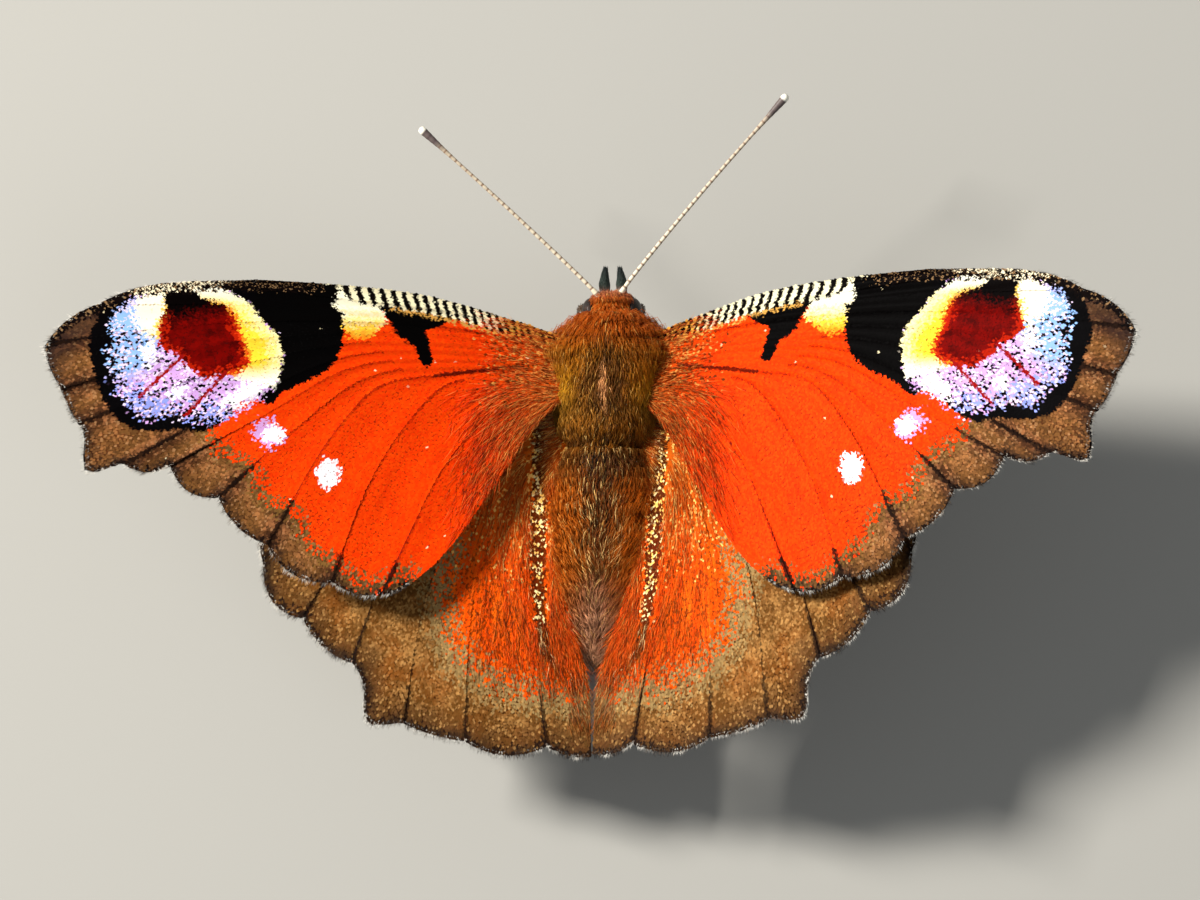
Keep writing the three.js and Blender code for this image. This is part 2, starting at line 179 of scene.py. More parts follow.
def spread(form, cell, f, s):
    """Flat place on a wing: between vein cell and the next by share f, and share s of the way out."""
    k = np.clip((s * STEPS).astype(int), 0, STEPS - 1)
    part = (s * STEPS - k)[:, None]
    rays = form["rays"]
    a = rays[cell, k] * (1 - part) + rays[cell, k + 1] * part
    b = rays[cell + 1, k] * (1 - part) + rays[cell + 1, k + 1] * part
    starts, bulge, lean, point = form["tune"][cell].T
    swell = bulge * np.sin(np.pi * f ** (np.log(0.5) / np.log(lean))) ** point
    swell = swell * np.clip(s * 6 - 5, 0, None)
    edge = rays[cell + 1, -1] - rays[cell, -1]
    out = np.stack([-edge[:, 1], edge[:, 0]], axis=1) / np.linalg.norm(edge, axis=1)[:, None]
    return a * (1 - f[:, None]) + b * f[:, None] + out * swell[:, None], np.linalg.norm(b - a, axis=1)


def relief(form, cell, f, s, flat, width):
    """Height of the upper face: the wing's arch, a shallow sag between veins, and the vein ridges."""
    height, span = form["arch"]
    r = np.hypot(*flat.T) / span
    near = np.minimum(f, 1 - f) * width
    vein = np.where(f < 0.5, form["tune"][cell, 0], form["tune"][cell + 1, 0])
    near = np.where(s >= vein, near, 9.0)
    ridge = 0.045 * np.exp(-(near / 0.11) ** 2) * (1.25 - s)
    sag = -0.05 * width ** 0.5 * np.sin(np.pi * f) ** 2
    wave = 0.05 * np.sin(cell * 2.4 + 7 * s) * s ** 2
    return 4 * height * r * (1 - r) + ridge + sag + wave, near


def in_frame(points):
    """Body coordinates in millimetres to the frame in metres."""
    return points * MM + np.array(HINGE)


def place(form, name, points):
    """Wing coordinates in millimetres to the frame in metres."""
    side = -1 if name.endswith("left") else 1
    lift, twist, sweep = (math.radians(a) for a in POSE[name])
    turn = (Matrix.Rotation(side * sweep, 3, "Z") @ Matrix.Rotation(-side * lift, 3, "Y")
            @ Matrix.Rotation(twist, 3, "X"))
    x, y, z = form["base"]
    p = np.asarray(points) * (side, 1, 1) @ np.array(turn).T + (side * x, y, z)
    return in_frame(p)


def link(name, mesh, *materials):
    thing = bpy.data.objects.new(name, mesh)
    bpy.context.collection.objects.link(thing)
    for material in materials:
        mesh.materials.append(material)
    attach(thing, "root")
    return thing


def carry(mesh, **values):
    """Numbers that the materials read, one for each vertex."""
    for name, value in values.items():
        numbers = mesh.attributes.new(name, "FLOAT", "POINT")
        numbers.data.foreach_set("value", np.asarray(value, np.float32))


def on_map(name, spots):
    left, below, size = MAPS[name]
    return (spots[:, :2] + (left, below)) / size


def lay_uv(mesh, name, spots):
    corner = np.empty(len(mesh.loops), int)
    mesh.loops.foreach_get("vertex_index", corner)
    mesh.uv_layers.new(name=name).data.foreach_set("uv", np.asarray(spots, np.float32)[corner].ravel())


def margin_of(form, first, steps=30):
    """Points along the outer edge, from the vein where the outer margin starts."""
    cells = np.repeat(np.arange(first, len(form["veins"]) - 1), steps)
    f = np.tile(np.arange(steps) / steps, len(cells) // steps)
    return spread(form, cells, f, np.ones(len(cells)))[0]


def gap_to(points, edge):
    """Distance from each point to the nearest one of an edge."""
    return np.concatenate([np.sqrt(((part[:, None] - edge[None]) ** 2).sum(-1)).min(1)
                           for part in np.array_split(points, max(1, len(points) // 2000))])


FORE["margin"], HIND["margin"] = margin_of(FORE, 3), margin_of(HIND, 0)
tip = spread(FORE, np.repeat([0, 1, 2], 20), np.tile(np.arange(20) / 20, 3), np.ones(60))[0]
FORE["costa"] = np.vstack([FORE["rays"][0], tip])
HIND["costa"] = HIND["rays"][0]


def membrane(form, name):
    """A wing's thin sheet, closely stepped beside the veins."""
    cells = len(form["veins"]) - 1
    shares = (0, 0.03, 0.07, 0.12, 0.25, 0.42, 0.58, 0.75, 0.88, 0.93, 0.97)
    across = np.array([i + f for i in range(cells) for f in shares] + [cells])
    sheet = bmesh.new()
    bmesh.ops.create_grid(sheet, x_segments=len(across) - 1, y_segments=STEPS, size=1)
    co = np.array([v.co[:2] for v in sheet.verts])
    q = across[np.round((co[:, 0] + 1) / 2 * (len(across) - 1)).astype(int)]
    s = np.round((co[:, 1] + 1) / 2 * STEPS) / STEPS
    cell = np.minimum(q.astype(int), cells - 1)
    flat, width = spread(form, cell, q - cell, s)
    z, near = relief(form, cell, q - cell, s, flat, width)
    for v, p in zip(sheet.verts, place(form, name, np.column_stack([flat, z]))):
        v.co = p
    if name.endswith("left"):
        bmesh.ops.reverse_faces(sheet, faces=sheet.faces)
    mesh = bpy.data.meshes.new(name + "_membrane")
    sheet.to_mesh(mesh)
    sheet.free()
    mesh.shade_smooth()
    carry(mesh, vein=near, margin=gap_to(flat, form["margin"]), costa=gap_to(flat, form["costa"]),
          shade=np.full(len(s), 0.5))
    lay_uv(mesh, "Planform", on_map("Planform", flat))
    lay_uv(mesh, "Course", np.column_stack([q / 12, s]))
    return mesh


def joined(name, corners, faces):
    """One mesh of many like pieces. corners is pieces x corners x 3, faces the triangles of one."""
    n, k = corners.shape[:2]
    mesh = bpy.data.meshes.new(name)
    tri = (np.asarray(faces)[None] + np.arange(n)[:, None, None] * k).reshape(-1, 3)
    mesh.vertices.add(n * k)
    mesh.vertices.foreach_set("co", corners.reshape(-1).astype(np.float32))
    mesh.loops.add(tri.size)
    mesh.loops.foreach_set("vertex_index", tri.reshape(-1).astype(np.int32))
    mesh.polygons.add(len(tri))
    mesh.polygons.foreach_set("loop_start", np.arange(0, tri.size, 3, dtype=np.int32))
    mesh.update()
    return mesh


# Wing scales. Flat flakes of dust-like chitin shingle the upper face in rows, each rooted in the
# membrane and pointing to the margin. A flake has one colour, so markings break up at their edges.
SCALE_ACROSS, SCALE_ALONG = 0.108, 0.142
HALF_WIDTH, SHOULDER, LENGTH, DEPTH = 0.082, 0.13, 0.24, 0.03
SCALE_FACES = ((0, 2, 3), (0, 3, 1), (1, 3, 4), (3, 2, 4), (2, 0, 4), (0, 1, 4))


def facing(name, faces):
    """The triangles turned over on a left wing, as its mirrored coordinates turn them inside out."""
    return [face[::-1] for face in faces] if name.endswith("left") else faces


def ground(form, cell, f, s):
    """Places on a wing's upper face with the directions out along the veins, across, and up."""
    spots = []
    for df, ds in ((0, 0), (0, 0.004), (0.02, 0)):
        flat, width = spread(form, cell, f + df, np.clip(s + ds, 0, 1))
        z, gap = relief(form, cell, f + df, np.clip(s + ds, 0, 1), flat, width)
        spots.append(np.column_stack([flat, z]))
        if not df and not ds:
            near = gap
    p, ahead, beside = spots
    ahead, beside = ahead - p, beside - p
    ahead /= np.linalg.norm(ahead, axis=1)[:, None]
    up = np.cross(ahead, beside)
    up *= np.sign(up[:, 2:3]) / np.linalg.norm(up, axis=1)[:, None]
    return p, ahead, np.cross(up, ahead), up, near


def shingles(form, name, seed):
    """All scales of one wing, cell by cell in rows that run out to the margin."""
    rng = np.random.default_rng(seed)
    cells, fs, ss = [], [], []
    for i in range(len(form["veins"]) - 1):
        rows = int(form["length"][i:i + 2].mean() / SCALE_ALONG)
        for row in range(rows):
            s = (row + 0.4) / rows
            width = np.linalg.norm(form["rays"][i + 1, int(s * STEPS)] - form["rays"][i, int(s * STEPS)])
            count = max(1, round(width / SCALE_ACROSS))
            stagger = 0.5 + (row % 2 - 0.5) * 0.5
            fs.append((np.arange(count) + stagger + rng.uniform(-0.25, 0.25, count)) / count)
            ss.append(s + rng.uniform(-0.35, 0.35, count) / rows)
            cells.append(np.full(count, i))
    cell, f, s = (np.concatenate(a) for a in (cells, fs, ss))
    f, s = np.clip(f, 0.0, 0.975), np.clip(s, 0, 0.99)
    p, ahead, across, up, near = ground(form, cell, f, s)
    size = rng.uniform(0.9, 1.2, len(p))[:, None]
    skew = rng.normal(0, 0.10, len(p))[:, None]
    ahead, across = ahead + across * skew, across - ahead * skew
    lift = rng.uniform(0.015, 0.035, len(p))[:, None]
    side = across * HALF_WIDTH * size
    middle = p + ahead * SHOULDER * size
    corners = np.stack([p - up * 0.004 - ahead * 0.03, middle + up * (lift * 0.6) + side,
                        middle + up * (lift * 0.6) - side, p + ahead * LENGTH * size + up * lift,
                        middle - up * DEPTH], axis=1)
    mesh = joined(name + "_scales", place(form, name, corners), facing(name, SCALE_FACES))
    mesh.shade_flat()
    k, root = corners.shape[1], p[:, :2]
    carry(mesh, vein=np.repeat(near, k), margin=np.repeat(gap_to(root, form["margin"]), k),
          costa=np.repeat(gap_to(root, form["costa"]), k), shade=np.repeat(rng.random(len(p)), k))
    spots = np.repeat(on_map("Planform", root), k, axis=0)
    lay_uv(mesh, "Planform", spots)
    lay_uv(mesh, "Course", np.repeat(np.column_stack([(cell + f) / 12, s]), k, axis=0))
    patch = np.array(((0, 0), (0.0015, 0.001), (-0.0015, 0.001), (0, 0.0025), (0, 0.0015)))
    lay_uv(mesh, "OFBake", spots + np.tile(patch, (len(p), 1)))
    return mesh


# Wing colour. A marking is an outline in wing millimetres, and a scale takes the colour of the
# outline its root lies in. Each scale's own random shade frays the edges of the markings.
class Field:
    """A number that varies over a surface, worked out by math nodes."""

    def __init__(self, tree, socket):
        self.tree, self.socket = tree, socket

    def math(self, operation, *others):
        node = self.tree.nodes.new("ShaderNodeMath")
        node.operation = operation
        for slot, value in zip(node.inputs, (self, *others)):
            if isinstance(value, Field):
                self.tree.links.new(value.socket, slot)
            else:
                slot.default_value = value
        return Field(self.tree, node.outputs[0])

    def __add__(self, other):
        return self.math("ADD", other)

    __radd__ = __add__

    def __sub__(self, other):
        return self.math("SUBTRACT", other)

    def __rsub__(self, other):
        return (self * -1).math("ADD", other)

    def __mul__(self, other):
        return self.math("MULTIPLY", other)

    __rmul__ = __mul__

    def __truediv__(self, other):
        return self.math("DIVIDE", other)

    def __abs__(self):
        return self.math("ABSOLUTE")

    def clip(self):
        return self.math("MAXIMUM", 0).math("MINIMUM", 1)

    def least(self, other):
        return self.math("MINIMUM", other)

    def most(self, other):
        return self.math("MAXIMUM", other)


def attribute(tree, name):
    node = tree.nodes.new("ShaderNodeAttribute")
    node.attribute_name = name
    return Field(tree, node.outputs["Fac"])


def flat_place(tree, name="Planform"):
    """Millimetres on the wing or over the body, or the shares across and along the veins."""
    node = tree.nodes.new("ShaderNodeUVMap")
    node.uv_map = name
    parts = tree.nodes.new("ShaderNodeSeparateXYZ")
    tree.links.new(node.outputs[0], parts.inputs[0])
    x, y = Field(tree, parts.outputs[0]), Field(tree, parts.outputs[1])
    if name == "Course":
        return x, y
    left, below, size = MAPS[name]
    return x * size - left, y * size - below


def cloud(x, y, across, along, detail=2.0):
    """Smooth noise between 0 and 1 that is stretched by different amounts each way."""
    join = x.tree.nodes.new("ShaderNodeCombineXYZ")
    for part, slot in zip((x * across, y * along), join.inputs):
        x.tree.links.new(part.socket, slot)
    node = x.tree.nodes.new("ShaderNodeTexNoise")
    node.inputs["Scale"].default_value = 1
    node.inputs["Detail"].default_value = detail
    x.tree.links.new(join.outputs[0], node.inputs["Vector"])
    return Field(x.tree, node.outputs["Fac"])


def profile(x, points):
    """A number read off a smooth curve through points of position and value."""
    low, high, top = min(points)[0], max(points)[0], max(abs(value) for _, value in points)
    node = x.tree.nodes.new("ShaderNodeFloatCurve")
    line = node.mapping.curves[0]
    for k, (position, value) in enumerate(sorted(points)):
        place = (position - low) / (high - low), value / top
        if 0 < k < len(points) - 1:
            line.points.new(*place)
        else:
            line.points[-1 if k else 0].location = place
    node.mapping.update()
    x.tree.links.new(((x - low) / (high - low)).socket, node.inputs["Value"])
    return Field(x.tree, node.outputs[0]) * top


def outline(u, v, points):
    """Gap in millimetres to a closed outline round its middle, below zero inside it."""
    ring = np.array(points)
    middle = (ring.min(0) + ring.max(0)) / 2
    turn = np.arctan2(*(ring - middle).T[::-1]) / math.tau % 1
    reach = np.hypot(*(ring - middle).T)
    order = np.argsort(turn)
    turn, reach = turn[order], reach[order]
    turn = np.concatenate([[turn[-1] - 1], turn, [turn[0] + 1]])
    reach = np.concatenate([[reach[-1]], reach, [reach[0]]])
    seam = np.interp(0, turn, reach)
    loop = [(0, seam), *zip(turn[1:-1], reach[1:-1]), (1, seam)]
    du, dv = u - middle[0], v - middle[1]
    angle = (dv.math("ARCTAN2", du) / math.tau).math("FRACT")
    return (du * du + dv * dv).math("SQRT") - profile(angle, [(float(a), float(b)) for a, b in loop])


def spot(u, v, middle, wide, high, tilt=0.0):
    """Gap in millimetres to an ellipse, below zero inside it."""
    c, s = math.cos(math.radians(tilt)), math.sin(math.radians(tilt))
    du, dv = u - middle[0], v - middle[1]
    a, b = (du * c + dv * s) / wide, (dv * c - du * s) / high
    return ((a * a + b * b).math("SQRT") - 1) * min(wide, high)


def line_gap(u, v, a, b):
    """Distance in millimetres to the straight line from a to b."""
    ax, ay, bx, by = *a, b[0] - a[0], b[1] - a[1]
    du, dv = u - ax, v - ay
    t = ((du * bx + dv * by) / (bx * bx + by * by)).clip()
    x, y = du - t * bx, dv - t * by
    return (x * x + y * y).math("SQRT")


class Coats:
    """Colours laid one over another. A scale or hair takes its luck from its own random shade."""

    def __init__(self, tree, shade, ground):
        self.tree, self.shade, self.colour, self.turn = tree, shade, ground, 0

    def luck(self):
        """Another number between 0 and 1, drawn by each scale."""
        self.turn += 1
        return (self.shade * (3.37 + 5.71 * self.turn)).math("FRACT")

    def jitter(self, amount):
        return (self.luck() - 0.5) * amount

    def inside(self, gap, fray, sharp=0.05):
        """1 where the gap is below zero; luck moves the edge by fray, in millimetres."""
        return (0.5 - (gap + self.jitter(fray)) / sharp).clip()

    def some(self, share, fray):
        """1 on about this share of the scales."""
        return self.inside(self.luck() - share, fray)

    def blend(self, under, *layers):
        """Colours over a first one, each by its own mask, without laying them on."""
        for colour, mask in layers:
            node = self.tree.nodes.new("ShaderNodeMix")
            node.data_type = "RGBA"
            for slot, value in ((0, mask), (6, under), (7, colour)):
                value = getattr(value, "socket", value)
                if isinstance(value, bpy.types.NodeSocket):
                    self.tree.links.new(value, node.inputs[slot])
                else:
                    node.inputs[slot].default_value = paint(value) if isinstance(value, str) else value
            under = node.outputs[2]
        return under

    def lay(self, colour, mask):
        self.colour = self.blend(self.colour, (colour, mask))


def marking(name):
    """A node group that puts out one colour."""
    marks = bpy.data.node_groups.new(name, "ShaderNodeTree")
    marks.interface.new_socket("Color", in_out="OUTPUT", socket_type="NodeSocketColor")
    return marks, marks.nodes.new("NodeGroupOutput").inputs[0]


fore_marks, fore_colour = marking("forewing markings")
u, v = flat_place(fore_marks)
q, s = flat_place(fore_marks, "Course")
vein, margin, costa, shade = (attribute(fore_marks, n) for n in ("vein", "margin", "costa", "shade"))
streaks, grit = cloud(q, s, 90, 5), cloud(u, v, 7, 7, 3)
coats = Coats(fore_marks, shade, "ec3402")
coats.lay("f65406", coats.luck() * 0.55)
coats.lay("cc2402", ((streaks - 0.5) * 2.0 + (cloud(u, v, 0.35, 0.35) - 0.5) * 1.2).clip() * 0.8)
coats.lay("8c1404", coats.inside(vein - 0.035, 0.03) * (0.8 - (u - 9) * 0.03).clip())
# Golden dust and brown shade towards the hinge, and the dark stem of the main vein.
coats.lay("b4520a", ((3.6 - u) / 4).clip() * 0.7)
coats.lay("e39a48", coats.inside(coats.luck() * 7 - (4.3 - u + v * 0.1) * 0.55, 0.3))
coats.lay("6a2c08", coats.inside(coats.luck() * 7 - (4.6 - u) * 0.40, 0.3))
coats.lay("7a2a06", ((streaks - 0.52) * 6).clip() * ((6.5 - u) * 0.3).clip() * 0.6)
coats.lay("4e0d05", coats.inside(line_gap(u, v, (1.2, -1.7), (6.4, -2.5)) - 0.10, 0.10) * 0.85)
# Brown outer border, mottled, with dark veins, a blackish edge and a few pale specks on it.
depth = profile(u, [(6, 0.55), (8.4, 0.9), (10, 0.9), (11.6, 1.2), (13, 2.0), (14.4, 2.6), (17.2, 2.7),
                    (19.5, 3.2), (22, 4.2), (26, 6), (30, 6)])
edge = margin - depth + (grit - 0.5) * 1.2
border, tone = coats.inside(edge, 1.5), cloud(u, v, 0.9, 0.9)
brown = coats.blend(
    "4a2b18",
    ("a86c42", ((grit - 0.42) * 2.6 + (tone - 0.48) * 3.0 + coats.jitter(0.7)).clip()),
    ("a87238", ((vein - 0.4) * 1.6).clip() * ((2.6 - vein) * 3).clip() * 0.35),
    ("84602e", coats.inside(edge + 0.7, 1.0) * -0.7 + 0.7),
    ("32200f", (coats.luck() - 0.4).clip()),
    ("c08c5c", coats.some(0.09, 0.05) * 0.5),
    ("261a14", ((0.95 - margin) * 1.3 + (tone - 0.5) * 2.5 + coats.jitter(0.6)).clip() * 0.9),
    ("2e201c", ((2.4 - costa) * 0.8 + (tone - 0.5) * 1.2).clip() * 0.75),
    ("24160e", ((0.32 - vein) * 3.4 + (grit - 0.5)).clip() * (margin * 0.6).clip() * 0.6))
coats.lay(brown, border)
vein_width = profile(margin, [(0, 0.09), (1.0, 0.15), (3, 0.09), (5, 0.03), (9, 0)])
coats.lay("170b06", coats.inside(vein - vein_width, 0.12) * coats.inside(edge - 0.6, 0.2) * 0.9)
coats.lay("160d09", coats.inside(margin - 0.20 + (grit - 0.5) * 0.9, 0.3))
coats.lay("a39c92", coats.inside(margin - 0.07, 0.16) * coats.some(0.5, 0.2))
# Dark strip along the leading edge, then the black patch, the pale patch inside it and the black bar.
coats.lay("1b110a", coats.inside(costa - 0.42, 0.25) * coats.inside(11 - u, 0.3))
patch = outline(u, v, (
    (17.4, 2.9), (14.4, 3.0), (11.78, 2.9), (11.5, 1.07), (11.8, -0.35), (12.28, -1.91), (13.63, -2.94),
    (15.24, -3.76), (16.3, -4.4), (17.2, -3.0), (17.6, 0.0)))
coats.lay("030202", coats.inside(patch, 0.18))
pale = outline(u, v, (
    (11.75, 2.6), (9.9, 2.4), (9.45, 1.43), (9.35, 0.55), (9.9, -0.1), (10.67, -0.55), (11.5, -0.45),
    (11.8, 1.0)))
gold = coats.blend("fff9dc", ("f9d13c", ((1.35 - v) * 0.8 + coats.jitter(0.5)).clip()),
                   ("f28a18", ((0.35 - v) * 1.1 + coats.jitter(0.6)).clip()))
coats.lay(gold, coats.inside(pale, 0.4))
bar = outline(u, v, (
    (9.45, 2.3), (9.0, 0.5), (7.76, -0.75), (7.2, -1.8), (6.8, -1.95), (6.7, -1.1), (6.95, 0.1),
    (6.6, 0.9), (5.6, 1.5), (6.2, 2.2), (7.8, 2.5)))
coats.lay("030202", coats.inside(bar, 0.2))
# Black and cream stripes on the leading edge, closer together and more golden towards the hinge.
phase = ((u + costa * 0.35 - 2) * 0.0305 + 0.44).math("LOGARITHM", math.e) / 0.0305
stripe = abs(phase.math("FRACT") - 0.5) - 0.25 + (grit - 0.5) * 0.14
reach = profile(u, [(0, 0.7), (3, 0.9), (9, 1.0), (11, 0.95), (12, 0.2), (13, 0)])
on_edge = coats.inside(costa - reach, 0.2)
band = coats.blend("f7eec6", ("e0a040", ((3.4 - u) * 0.8 + coats.jitter(0.6)).clip()))
coats.lay(coats.blend("0b0705", (band, coats.inside(stripe, 0.12, 0.04))), on_edge)
coats.lay("d9a04a", coats.inside(abs(costa - reach - 0.10) - 0.12, 0.2) * coats.inside(u - 9.2, 0.4)
          * coats.some(0.62, 0.1))
# Eyespot. A black ring holds blue and lilac dust over black, three white flecks, a cream spot and a
# yellow crescent, and a wine-red pupil with an orange rim; two red lines run out over the dust.
ring = outline(u, v, (
    (24.17, 1.85), (25.66, 1.15), (26.31, -0.13), (26.6, -1.4), (26.29, -2.51), (25.76, -4.04),
    (25.17, -5.15), (24.46, -5.83), (23.5, -6.15), (22.27, -6.2), (21.19, -6.05), (19.95, -6.2),
    (18.7, -5.6), (17.5, -4.0), (17.2, -1.0), (17.6, 2.6), (20.0, 2.9), (22.5, 2.6)))
coats.lay("030203", coats.inside(ring, 0.15))
iris = outline(u, v, (
    (24.3, 1.35), (22.01, 2.30), (20.09, 2.42), (18.57, 2.10), (17.45, 1.46), (16.46, 0.4),
    (15.61, -0.48), (15.32, -1.31), (15.38, -2.3), (15.66, -3.42), (16.59, -4.43), (17.66, -5.15),
    (18.59, -5.77), (19.82, -5.95), (21.47, -5.65), (22.83, -5.75), (23.93, -5.35), (24.92, -4.35),
    (25.45, -2.92), (25.6, -1.39), (25.3, 0.2)))
violet = spot(u, v, (22.8, -4.9), 2.3, 0.9, 25).least(spot(u, v, (19.2, -5.4), 1.2, 0.7, 20))
sky_blue = spot(u, v, (24.4, -0.9), 1.9, 2.4, 20)
dust = coats.blend("d3a4e2", ("8fb8f4", (sky_blue * -1.2 + 0.5 + coats.jitter(0.4)).clip()),
                   ("93a0f4", coats.inside(violet, 1.0)), ("e9d4f6", coats.some(0.3, 0.2)))
bare = 0.20 + (0.62 + iris * 0.62).clip() + (grit - 0.5) * 1.3
bare = bare - (v + 0.6).most(0) * (u - 23.0).most(0) * 0.4
coats.lay(dust, coats.inside(iris, 0.5) * coats.inside(bare - coats.luck() * 1.1, 0.0))
flecks = spot(u, v, (23.05, -1.7), 0.38, 0.62).least(spot(u, v, (21.35, -3.95), 0.50, 0.38, -20)).least(
    spot(u, v, (17.4, -3.9), 1.35, 0.48, -38))
coats.lay("fdfaff", coats.inside(flecks, 0.5))
pupil = outline(u, v, (
    (22.1, 2.5), (20.9, 2.5), (19.9, 1.6), (18.6, 1.1), (17.95, -0.26), (17.4, -1.6), (17.5, -2.2),
    (18.4, -2.7), (19.64, -3.05), (20.5, -2.6), (21.31, -1.9), (22.5, -0.9), (22.45, -0.1), (22.1, 1.0)))
pearl = coats.blend("fff4da", ("f7c85a", coats.inside(pupil - 0.15, 0.5)))
coats.lay(pearl, coats.inside(spot(u, v, (22.75, 0.55), 1.2, 1.5, -22), 0.6))
crescent = iris.most(u - 19.3 - ((v + 0.7) * 1.25).most(0)).most(-3.1 - v + (u - 17.5) * 0.25)
lemon = coats.blend("fff4b4", ("fcd836", (iris * -1.0 - 0.1 + coats.jitter(0.7)).clip()),
                    ("fffae4", ((v - 1.3) * 1.3).clip().most(((-2.2 - v) * 1.1).clip())),
                    ("f08c1c", coats.inside(pupil - 0.22, 0.5) * (1.8 - v).clip()),
                    ("d8380c", coats.inside(pupil - 0.08, 0.45) * (1.4 - v).clip()))
coats.lay(lemon, coats.inside(crescent, 0.25))
dusk = (v - 0.05) * 0.95 + (u - 20.2) * 0.28 + (grit - 0.5) * 0.8
wine = coats.blend("760401", ("440201", ((cloud(u, v, 1.6, 1.6) - 0.4) * 3 + coats.jitter(0.4)).clip()),
                   ("040101", (dusk + coats.jitter(0.7)).clip()),
                   ("c82204", coats.inside(pupil * -1 - 0.36, 0.6) * (1.0 - v).clip() * 0.65))
coats.lay(wine, coats.inside(pupil, 0.35))
for a, b in (((21.1, -1.8), (23.5, -4.2)), ((18.4, -2.6), (20.8, -5.2))):
    coats.lay("96100f", coats.inside(line_gap(u, v, a, b) - 0.10, 0.06) * coats.inside(iris, 0.1))
# Leading edge beside the eyespot: black, sprinkled with cream and then with brown scales.
coats.lay("0d0605", coats.inside(costa - 0.52, 0.4) * coats.inside(14 - u, 0.3))
coats.lay("f8e9c4", coats.inside(spot(u, v, (21.4, 2.55), 3.4, 0.55, -8), 0.3) * coats.some(0.38, 0.05))
coats.lay("8a6a48", coats.inside(costa - 0.5, 0.5) * coats.some(0.16, 0.05) * coats.inside(13 - u, 0.5))
# Two white spots behind the eyespot, the outer one in a lilac haze, and stray pale scales.
haze, white = spot(u, v, (16.0, -6.15), 1.15, 0.95, 30), spot(u, v, (12.55, -8.43), 0.68, 0.9, 10)
coats.lay("d9a3dd", coats.inside(haze + coats.luck() * 0.45, 0.5))
coats.lay("fffafe", coats.inside(spot(u, v, (15.75, -6.25), 0.6, 0.55).least(white), 0.35))
coats.lay("f3e2b4", coats.inside(coats.luck() - 0.0007, 0.0, 0.0004) * 0.8)
fore_marks.links.new(coats.colour, fore_colour)

# Hindwing: orange, streaked with brown along its veins, inside a broad brown border.
hind_marks, hind_colour = marking("hindwing markings")
u, v = flat_place(hind_marks)
q, s = flat_place(hind_marks, "Course")
vein, margin, shade = (attribute(hind_marks, n) for n in ("vein", "margin", "shade"))
grit, blotch = cloud(u, v, 6, 6, 3), cloud(u, v, 0.8, 0.8)
coats = Coats(hind_marks, shade, "ee4e04")
coats.lay("ff7010", ((cloud(q, s, 110, 4) - 0.45) * 4 + coats.jitter(0.5)).clip() * 0.8)
coats.lay("9a3404", ((cloud(q, s, 320, 9) - 0.54) * 6).clip() * 0.6)
coats.lay("b4560e", (1.2 - (v * -1 - 3.0) / 6).clip() * 0.8)
coats.lay("5e2c08", coats.inside(coats.luck() - 0.24 + (v + 14) * 0.02, 0.1) * 0.7)
red = outline(u, v, (
    (0.2, -1.5), (4.0, -2.2), (5.9, -6.5), (5.9, -9.58), (6.2, -12.72), (5.61, -15.12), (4.18, -16.4),
    (2.48, -17.2), (0.23, -17.4), (-1.04, -17.7), (-1.9, -17.2), (-1.4, -12.0), (-0.6, -6.0)))
brown = coats.blend(
    "6e451c",
    ("b98548", ((grit - 0.42) * 2.4 + (blotch - 0.47) * 2.6 + coats.jitter(0.8)).clip()),
    ("a0581e", ((cloud(u, v, 0.5, 0.5) - 0.45) * 4).clip() * 0.45),
    ("a48a58", coats.inside(red - 1.5, 1.4) * 0.7),
    ("4e301a", ((2.0 - margin) * 0.8 + (blotch - 0.5) * 2).clip() * 0.75),
    ("4c3212", (coats.luck() - 0.35).clip() * 0.9),
    ("d8a460", coats.some(0.10, 0.05) * 0.4),
    ("241a14", ((0.75 - margin) * 1.6 + (blotch - 0.5) * 3).clip() * 0.85))
coats.lay(brown, coats.inside(red * -1 + (grit - 0.5) * 1.8, 2.4))
# Eyespot under the forewing: grey-buff surround, black disc, blue dust.
disc = outline(u, v, (
    (14.6, -5.2), (13.6, -3.4), (11.6, -2.9), (9.6, -3.8), (8.5, -6.0), (8.9, -8.6), (10.4, -10.3),
    (12.2, -10.4), (13.9, -8.8), (14.8, -7.0)))
coats.lay("cdb98c", coats.inside(disc - 0.9, 0.8))
coats.lay("0a0708", coats.inside(disc, 0.3))
blue = spot(u, v, (12.6, -6.0), 1.3, 1.9, -30).least(spot(u, v, (10.3, -7.6), 1.0, 1.5, -30))
coats.lay("5f83e6", coats.inside(blue + coats.luck() * 0.9, 0.6))
# Dark veins and blackish edge of the border.
vein_width = profile(margin, [(0, 0.15), (1.6, 0.13), (3.4, 0.05), (5, 0.01), (20, 0)])
coats.lay("140b07", coats.inside(vein - vein_width, 0.1) * coats.inside(0.2 - red, 0.3) * 0.8)
coats.lay("1a120f", coats.inside(margin - 0.30 + (grit - 0.5) * 1.6 + (blotch - 0.5) * 1.6, 0.5) * 0.85)
coats.lay("c9c3b8", coats.inside(margin - 0.09, 0.2) * coats.some(0.6, 0.2))
# Golden glints in a dark band beside the body, and scattered over the outer part.
middle = profile(v, [(-16, 0.1), (-12.2, 1.04), (-8.8, 1.11), (-6.5, 1.0), (-3, 0.8)])
band = abs(u - middle) - profile(v, [(-17, 0.1), (-13, 0.3), (-9, 0.4), (-3, 0.5)])
coats.lay("1e0e05", coats.inside(band - 0.05, 0.3) * 0.85)
coats.lay("ffe6a0", coats.inside(band, 0.6) * coats.some(0.20, 0.05))
coats.lay("ffc766", coats.inside(v * -1 - 10.5 + (u - 2) * 0.4, 4.0) * coats.some(0.16, 0.06)
          * coats.inside(red - 1, 0.5))
hind_marks.links.new(coats.colour, hind_colour)


